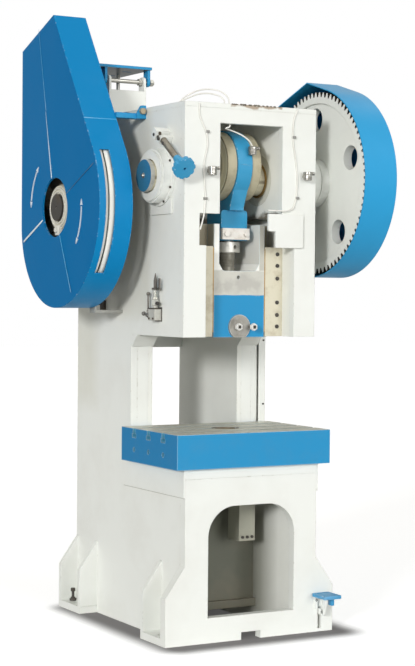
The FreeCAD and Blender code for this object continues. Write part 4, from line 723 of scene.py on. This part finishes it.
# Cap screws that hold the brake's cover to its ring.
COVER_RADIUS = 114
for bearing in (math.radians(degrees) for degrees in (62, 150, 205, 245, 300, 10)):
    y, z = SHAFT_Y + COVER_RADIUS * math.cos(bearing), SHAFT_Z + COVER_RADIUS * math.sin(bearing)
    cap_screw(pins, 2.6, 4.6, 5, aim((-318, y, z), LEFT))
finished("brake_pins", pins, dark, "press_frame", "dark_steel")

# -------------------------------------------------- belt guard's face
# Sheet steel in four flat facets that rise to a ring round the flywheel's hub. Strips along
# the folds are painted light and shade: white and light blue painted highlights, the white
# ones on rubbed paint, and a dark strip of painted shade in one crease. White arrows round
# the hub show that it turns both ways.
HUB = Vector((0, 135.9, 1730))
FACE_X = -581.3
FOLDS = (76.8, 156.0, 245.0, 337.0)
RISE, DIP, RISE_END = 5.2, 3.2, 122
# From the rim to the radius RISE_END the face rises, less by DIP halfway between two folds.
# The guard's outline round the hub: two rounds, the rear one lower, and straight sides
# from the rear over the shoulder and the apex down to the front round.
FRONT_RADIUS, BACK_RADIUS, BACK_DROP = 414.0, 350.0, 64.0
OUTLINE = [Vector(corner) for corner in ((350, -64), (350, 680), (33, 796), (-344.4, 229.9))]


def pear(angle):
    """Reach of the guard's outline from the hub, by its angle from the back, upwards."""
    line = Vector((math.cos(angle), math.sin(angle)))
    degrees = math.degrees(angle) % 360
    if 146.3 <= degrees <= 270:
        return FRONT_RADIUS
    reach = math.inf
    for start, end in zip(OUTLINE, OUTLINE[1:]):
        side = end - start
        cross = line.cross(side)
        if abs(cross) > 1e-9 and start.cross(side) / cross > 0:
            reach = min(reach, start.cross(side) / cross)
    if degrees > 270:
        middle = line.dot(Vector((0, -BACK_DROP)))
        reach = min(reach, middle + math.sqrt(middle**2 - BACK_DROP**2 + BACK_RADIUS**2))
    return reach


def face_x(angle, radius):
    """How far out the facets stand at a place on the face."""
    degrees = math.degrees(angle) % 360
    folds = (FOLDS[-1] - 360, *FOLDS, FOLDS[0] + 360)
    before = max(fold for fold in folds if fold <= degrees)
    after = min(fold for fold in folds if fold > degrees)
    sag = math.sin(math.pi * (degrees - before) / (after - before))
    rise = (pear(angle) - radius) / (pear(angle) - RISE_END)
    return FACE_X - rise * (RISE - DIP * sag)


# The vertex nearest to each corner of the outline and each fold moves onto it.
STEPS = 160
bearings = [2 * math.pi * step / STEPS for step in range(STEPS)]
for corner in (math.radians(degrees) for degrees in (-10.4, 62.8, 87.6, 146.2) + FOLDS):
    near = min(range(STEPS), key=lambda step: abs(math.sin((bearings[step] - corner) / 2)))
    bearings[near] = corner
# Back edge, four rings of the facets from the rim to the hub, and the back edge of the hub's ring.
SHARES = (0.0, 0.0, 0.33, 0.66, 1.0, 1.0)
HUB_RING = 122.5
face = bmesh.new()
loops = []
for index, share in enumerate(SHARES):
    ring = bmesh.ops.create_circle(face, segments=STEPS, radius=1)["verts"]
    ring.sort(key=lambda vert: math.atan2(vert.co.y, vert.co.x) % (2 * math.pi))
    for vert, angle in zip(ring, bearings):
        radius = pear(angle) * (1 - share) + HUB_RING * share
        x = FACE_X + 1 if index in (0, len(SHARES) - 1) else face_x(angle, radius)
        vert.co = (x, HUB.y + radius * math.cos(angle), HUB.z + radius * math.sin(angle))
    loops.append({edge for vert in ring for edge in vert.link_edges})
for outer, inner in zip(loops, loops[1:] + loops[:1]):
    bmesh.ops.bridge_loops(face, edges=list(outer | inner))
skin = bmesh.new()
pour(skin, face, IN_MM)
# The face's blue is darker than the guard's rim, as painted shade.
face_paint = painted("face_paint", (0.0, 0.155, 0.4, 1), soil=WORN, chips=0.5, dust=0.006, shine=0.05)
finished("belt_guard_face", skin, face_paint, "press_frame", "blue_paint")


def seam(piece, degrees, near, far, thick_near, thick_far):
    """A painted strip along a fold of the face, from the hub outwards, flattened on the sheet."""
    angle = math.radians(degrees)
    start, end = (Vector((face_x(angle + 0.001, reach), HUB.y + reach * math.cos(angle),
                          HUB.z + reach * math.sin(angle))) for reach in (near, far))
    run = end - start
    profile = [(0, 0), (thick_near * 0.7, 1), (thick_near, 12), (thick_far, run.length - 12),
               (0, run.length)]
    on_sheet = Matrix.Translation((start.x * MM, 0, 0))
    flatten = on_sheet @ Matrix.Diagonal((0.3, 1, 1, 1)) @ on_sheet.inverted()
    turned(piece, profile, flatten @ aim(start, run), 10)


# White strips on the first and last folds: painted highlights, on rubbed paint.
rubbed_and_highlit = bmesh.new()
seam(rubbed_and_highlit, FOLDS[0], 124, 420, 4.6, 2.2)
seam(rubbed_and_highlit, FOLDS[3], 124, 352, 4.2, 4.8)
highlight_white_paint = painted("highlight_white_paint", (0.8, 0.86, 0.9, 1), soil=(0.1, 0.4, 0.66, 1), chips=0.2, dust=0.5)
finished("fold_highlights", rubbed_and_highlit, highlight_white_paint, "press_frame", "blue_paint")
# A dark strip in the second fold's crease: painted shade.
creased = bmesh.new()
seam(creased, FOLDS[1], 124, 405, 1.5, 1.2)
crease_shade_paint = painted("crease_shade_paint", (0.001, 0.07, 0.2, 1), soil=WORN, dust=0.3)
finished("sheet_crease", creased, crease_shade_paint, "press_frame", "blue_paint")
folded = bmesh.new()
seam(folded, FOLDS[0], 418, 780, 2.2, 1.6)
seam(folded, FOLDS[2], 124, 390, 3.0, 3.0)
# The rim's two sheets lap under a thin joint strip.
lap = Matrix.Translation((0, -0.1284, 2.079)) @ Matrix.Rotation(math.atan2(0.832, 0.555), 4, "X")
block(folded, (-581, -2.4, -1), (-434, 2.4, 1.6), 0.8, lap @ IN_MM)
# Light blue: a painted highlight on these folds and on the joint strip.
fold_highlight_blue = painted("fold_highlight_blue", (0.06, 0.38, 0.68, 1), soil=WORN, dust=0.4)
finished("sheet_folds", folded, fold_highlight_blue, "press_frame", "blue_paint")


def turning_arrow(piece, radius, start, end):
    """A thin double-headed arrow bent round the hub."""
    on_side = Matrix(((0, 0, 1, 0), (1, 0, 0, 0), (0, 1, 0, 0), (0, 0, 0, 1)))
    place = IN_MM @ Matrix.Translation((FACE_X - RISE, HUB.y, HUB.z)) @ on_side
    bar = bmesh.new()
    section = Matrix.Translation((radius, 0, 2)) @ Matrix.Diagonal((5.5, 1, 4, 1))
    bmesh.ops.create_grid(bar, x_segments=1, y_segments=1, size=0.5,
                          matrix=spun(start + 3) @ section @ Matrix.Rotation(math.pi / 2, 4, "X"))
    bmesh.ops.spin(bar, geom=bar.faces[:], axis=(0, 0, 1), angle=math.radians(end - start - 6),
                   steps=18)
    pour(piece, bar, place)
    for degrees, half_turn in ((start, 180), (end, 0)):
        head = bmesh.new()
        bmesh.ops.create_cone(head, cap_ends=True, segments=3, radius1=13, radius2=13, depth=4)
        bmesh.ops.scale(head, verts=head.verts, vec=(0.72, 1.3, 1))
        at_end = spun(degrees) @ Matrix.Translation((radius, 0, 2)) @ spun(half_turn)
        pour(piece, head, place @ at_end)


arrows = bmesh.new()
turning_arrow(arrows, 241, 6, 43)
turning_arrow(arrows, 257, 178, 213)
arrow_paint = painted("arrow_paint", (0.85, 0.87, 0.88, 1), soil=(0.1, 0.4, 0.66, 1), chips=0.5, dust=0.3)
finished("turning_arrows", arrows, arrow_paint, "press_frame", "blue_paint")

# A black lug on the side plate steadies the guard's lower end.
lug = bmesh.new()
block(lug, (-328, 216, 1294), (-305.2, 236, 1346), 5)
block(lug, (-332, 222, 1326), (-305.2, 262, 1350), 6)
hexed(lug, 15, 7, aim((-332, 233, 1338), LEFT))
finished("guard_lug", lug, dark, "press_frame", "dark_steel")

# -------------------------------------------------- flywheel hub
# A cream clamp block at the wheel's hub, and two turned ridges round the shaft's end.
hub = bmesh.new()
block(hub, (-577, 112, 1615), (-536, 152, 1657), 4)
hexed(hub, 19, 9, aim((-577, 132, 1637), LEFT))
ridges = aim((-565, HUB.y, HUB.z), LEFT)
turned(hub, [(76, 0), (76, 5), (79, 6.5), (82, 5), (82, 0)], ridges, 64)
turned(hub, [(62, 0), (62, 7), (65, 8), (67, 7), (67, 0)], ridges, 64)
hub_paint = painted("hub_paint", (0.76, 0.745, 0.68, 1), dust=0.3)
finished("hub_clamp", hub, hub_paint, "flywheel_body", "frame_paint")

# -------------------------------------------------- wheel rim in the guard's slot
# Two cream bands with a dark groove between them, close behind the slot in the guard's rim.
bands = bmesh.new()
for low, high in ((-556, -536.5), (-529.5, -508)):
    band = bmesh.new()
    section = Matrix.Translation(((low + high) / 2, 400, 0)) @ Matrix.Diagonal((high - low, 6, 1, 1))
    bmesh.ops.create_grid(band, x_segments=1, y_segments=1, size=0.5, matrix=section)
    bmesh.ops.bevel(band, geom=band.edges[:] + band.verts[:], offset=1.5, segments=2, profile=0.5,
                    affect="VERTICES", material=-1)
    bmesh.ops.rotate(band, verts=band.verts, matrix=Matrix.Rotation(math.radians(144), 3, "X"))
    bmesh.ops.spin(band, geom=band.faces[:], axis=(1, 0, 0), angle=math.radians(81), steps=40)
    pour(bands, band, IN_MM @ Matrix.Translation(HUB))
band_paint = painted("band_paint", (0.93, 0.92, 0.85, 1), soil=(0.5, 0.46, 0.38, 1), dust=0.3)
finished("slot_bands", bands, band_paint, "press_frame", "frame_paint")

# -------------------------------------------------- shaft end screw
# A washer and a domed screw hold the end disc on the crankshaft.
disc_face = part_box("shaft_end_disc")[0][0] / MM
end_screw = bmesh.new()
turned(end_screw, [(0, -1), (11, -1), (11, 1.6), (10, 2.4), (7.5, 2.4), (7.2, 5), (5, 7.6), (0, 8.4)],
       aim((disc_face, SHAFT_Y, SHAFT_Z), LEFT), 28)
finished("shaft_end_screw", end_screw, cup_steel, "crank_body", "machined_steel")

# -------------------------------------------------- screw thread
# The adjusting screw's thread shows between its collar and the ram's pocket floor.
thread = bmesh.new()
coil(thread, 31.4, 2.0, 6, 54, aim((0, SHAFT_Y, 1491)), 6, 28)
finished("screw_thread", thread, thread_finish, "screw_body", "machined_steel")

# -------------------------------------------------- hand pump
# A clear oil pot between two nuts, with a rod down its middle and a little oil in it.
POT_FLOOR, POT_RIM = 1356, 1392
pot_axis = aim((-323, -264, 0))
pot = bmesh.new()
turned(pot, [(9.6, POT_FLOOR), (12.2, POT_FLOOR), (12.2, POT_RIM), (9.6, POT_RIM), (9.6, POT_FLOOR)],
       pot_axis, 40)
clear, tree, _ = fresh("clear_plastic")
shader = add(tree, "ShaderNodeBsdfPrincipled", {"Base Color": (1.0, 1.0, 0.98, 1), "Roughness": 0.12,
                                                "Transmission Weight": 1.0, "IOR": 1.3})
add(tree, "ShaderNodeOutputMaterial", {"Surface": shader.outputs[0]})
finished("pump_pot", pot, clear, "press_frame", "clear_plastic", "pump_reservoir")
inside = bmesh.new()
turned(inside, [(0, POT_FLOOR), (2.4, POT_FLOOR), (2.4, POT_RIM), (0, POT_RIM)], pot_axis, 12)
turned(inside, [(2.6, 1356.5), (9.4, 1356.5), (9.4, 1364), (2.6, 1364)], pot_axis, 30)
oil = painted("pot_oil", (0.85, 0.84, 0.76, 1), gloss=0.1, shine=0.5)
finished("pump_oil", inside, oil, "press_frame", "clear_plastic")
fittings = bmesh.new()
block(fittings, (-307.5, -291, 1267), (-305.1, -233, 1324), 0.8)
block(fittings, (-342, -289, 1316.5), (-306, -235, 1321.5), 0.8)
union = aim((-323, -275, 1340), FRONT)
hexed(fittings, 13, 15, union)
turned(fittings, [(0, 15), (4.4, 15), (4.4, 21), (3.6, 22), (0, 22)], union, 16)
for y in (-280, -245):
    cap_screw(fittings, 2.2, 4.0, 4, aim((-340, y, 1279), LEFT))
finished("pump_fittings", fittings, dark, "press_frame", "dark_steel")
# The lever's pin runs on past the lever to a second ball.
BALL = [(0, -9), (4.5, -7.8), (7.8, -4.5), (9, 0), (7.8, 4.5), (4.5, 7.8), (0, 9)]
PIN_RUN = (0, 39, 7)
knobs = bmesh.new()
turned(knobs, [(0, 2), (5, 2), (5, 34), (0, 34)], aim((-323, -204, 1290), PIN_RUN), 20)
turned(knobs, BALL, aim((-323, -165, 1297), PIN_RUN), 24)
turned(knobs, [(4.6, 14), (6.4, 15), (6.4, 21), (4.6, 22), (4.6, 14)], aim((-323, -204, 1290)), 20)
finished("pump_lever_ball", knobs, nut_steel, "pump_lever_body", "machined_steel")

# -------------------------------------------------- pedal
# A pressed blue tread with rolled edges and a side lug, on a pale welded arm. The arm
# runs into the base through an upright slot, beside two pale ears with sunk screws.
tread = bmesh.new()
block(tread, (286, -594, 153), (366, -503, 160), 3)
block(tread, (285, -597, 146), (367, -586, 161.5), 3.5)
block(tread, (284.5, -596, 147), (293, -504, 161), 3.2)
block(tread, (359, -596, 147), (367.5, -504, 161.5), 3.2)
block(tread, (286, -512, 150), (366, -502.5, 162), 3.2)
block(tread, (351, -548, 110), (366, -520, 155), 4)
turned(tread, [(0, -1), (7, -1), (7, 3), (6, 4), (0, 4)], aim((366, -534, 122), RIGHT), 20)
tread_paint = painted("tread_paint", (0.03, 0.3, 0.58, 1), soil=(0.75, 0.82, 0.86, 1), chips=1.0,
                      dust=0.25)
finished("pedal_tread", tread, tread_paint, "pedal_body", "blue_paint", "pedal")
arm = bmesh.new()
block(arm, (322, -530, 70), (332, 78, 97), 2)
riser = Matrix.Translation((0.327, -0.524, 0.084)) @ Matrix.Rotation(math.radians(16), 4, "X")
block(arm, (-5, -12, -10), (5, 12, 71), 2, riser @ IN_MM)
turned(arm, [(8.5, -6.5), (16, -6.5), (17, -5.5), (17, 5.5), (16, 6.5), (8.5, 6.5), (8.5, -6.5)],
       aim((327, 62, 82), RIGHT), 32)
finished("pedal_arm", arm, frame_paint, "pedal_body", "frame_paint")
guide = bmesh.new()
block(guide, (300, -502, 96), (317, -494, 138), 2)
block(guide, (337, -502, 96), (362, -494, 138), 2)
block(guide, (300, -500.5, 132), (362, -494, 146), 2)
finished("pedal_guide", guide, frame_paint, "press_frame", "frame_paint")
sunk = bmesh.new()
for x, z in ((308, 131), (350, 104)):
    turned(sunk, [(0, -1), (2, -1), (2.6, 0.8), (5, 0.8), (5.4, 0)], aim((x, -502, z), FRONT), 18)
finished("guide_screws", sunk, dark, "press_frame", "dark_steel")

# -------------------------------------------------- levelling bolts
# A long waisted bolt with a nut stands in each corner of the feet.
BOLT_PROFILE = [(0, 0), (10, 0), (10, 46), (6, 48), (6, 70), (10, 72), (10, 84), (8.5, 86), (0, 86)]
levellers = bmesh.new()
for x in (-350, 350):
    for y in (-434, 434):
        turned(levellers, BOLT_PROFILE, aim((x, y, 0)), 20)
        hexed(levellers, 26, 12, aim((x, y, 30)))
finished("levelling_screws", levellers, dark, "press_frame", "dark_steel", "levelling_bolts")

# -------------------------------------------------- flange bolts
# Eight bolts hold each pinion shaft housing to its side plate, and four more hold the
# motor stand on the head.
BOLT_CIRCLE = 98.5
HEAD_TOP = 2133
flanges = bmesh.new()
for side in (-1, 1):
    for angle in (math.radians(22.5 + 45 * step) for step in range(8)):
        y, z = HUB.y + BOLT_CIRCLE * math.cos(angle), HUB.z + BOLT_CIRCLE * math.sin(angle)
        hexed(flanges, 19, 11, aim((side * 321, y, z), (side, 0, 0)))
for x in (-290, -165):
    for y in (215, 380):
        hexed(flanges, 19, 10, aim((x, y, HEAD_TOP)), 0.1)
finished("flange_bolts", flanges, dark, "press_frame", "dark_steel")

# -------------------------------------------------- weld beads
# Fillet welds, painted over, where gussets, bands and brackets meet the plates.


def weld(piece, start, end, radius=4.0):
    """A rippled bead along a joint between two points."""
    run = Vector(end) - Vector(start)
    count = max(6, int(run.length / 5))
    profile = [(0, 0), (0, run.length)]
    profile[1:1] = [(radius * (1.0 if step % 2 else 0.8), run.length * step / count)
                    for step in range(1, count)]
    turned(piece, profile, aim(start, run), 8)


FOOT_TOP = 30
beads = bmesh.new()
for side in (-1, 1):
    x = side * 305
    for y in (-455, -305, -285, 285, 305, 475):
        weld(beads, (x, y, 32), (x, y, 306), 3.5)
        if y != -455:
            weld(beads, (side * 307, y, FOOT_TOP), (side * 386, y, FOOT_TOP), 3.0)
    weld(beads, (side * 306, -452, FOOT_TOP), (side * 306, -308, FOOT_TOP))
    weld(beads, (side * 306, 308, FOOT_TOP), (side * 306, 472, FOOT_TOP))
    for y, z in ((-68, 1202), (-20, 1160)):
        weld(beads, (side * 205, y, z), (x, y, z), 3.0)
for x in (-315, -140):
    weld(beads, (x, 183, HEAD_TOP), (x, 419, HEAD_TOP), 3.5)
weld(beads, (-314, 182, HEAD_TOP), (-141, 182, HEAD_TOP), 3.5)
finished("weld_beads", beads, frame_paint, "press_frame", "frame_paint")
# A dark bead under each side band of the table seat, painted as the band's shadow line.
shadow_lines = bmesh.new()
for side in (-1, 1):
    weld(shadow_lines, (side * 306, -492, 579), (side * 306, 38, 579), 2.4)
finished("band_shadow_lines", shadow_lines, shadow_olive_paint, "press_frame", "frame_paint")
# Along the head's top edge the paint never held, and the edge is rusty and speckled.
# Each speck is its start, its end and its radius.
SPECKS = ((-98, -64, 2.6), (-58, -24, 4.2), (-18, 0, 3.6), (5, 40, 4.4), (47, 58, 3.2), (66, 76, 4.0),
          (84, 92, 3.4), (100, 112, 3.8), (118, 138, 2.4))
edge_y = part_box("head_front_plate")[0][1] / MM + 1
edge_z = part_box("head_top_plate")[1][2] / MM - 1
specks = bmesh.new()
for start, end, radius in SPECKS:
    weld(specks, (start, edge_y, edge_z), (end, edge_y, edge_z), radius)
scale_paint = painted("scale_paint", (0.07, 0.05, 0.025, 1), soil=(0.8, 0.79, 0.7, 1), chips=1.4,
                      dust=0.2)
finished("edge_scale", specks, scale_paint, "press_frame", "frame_paint")
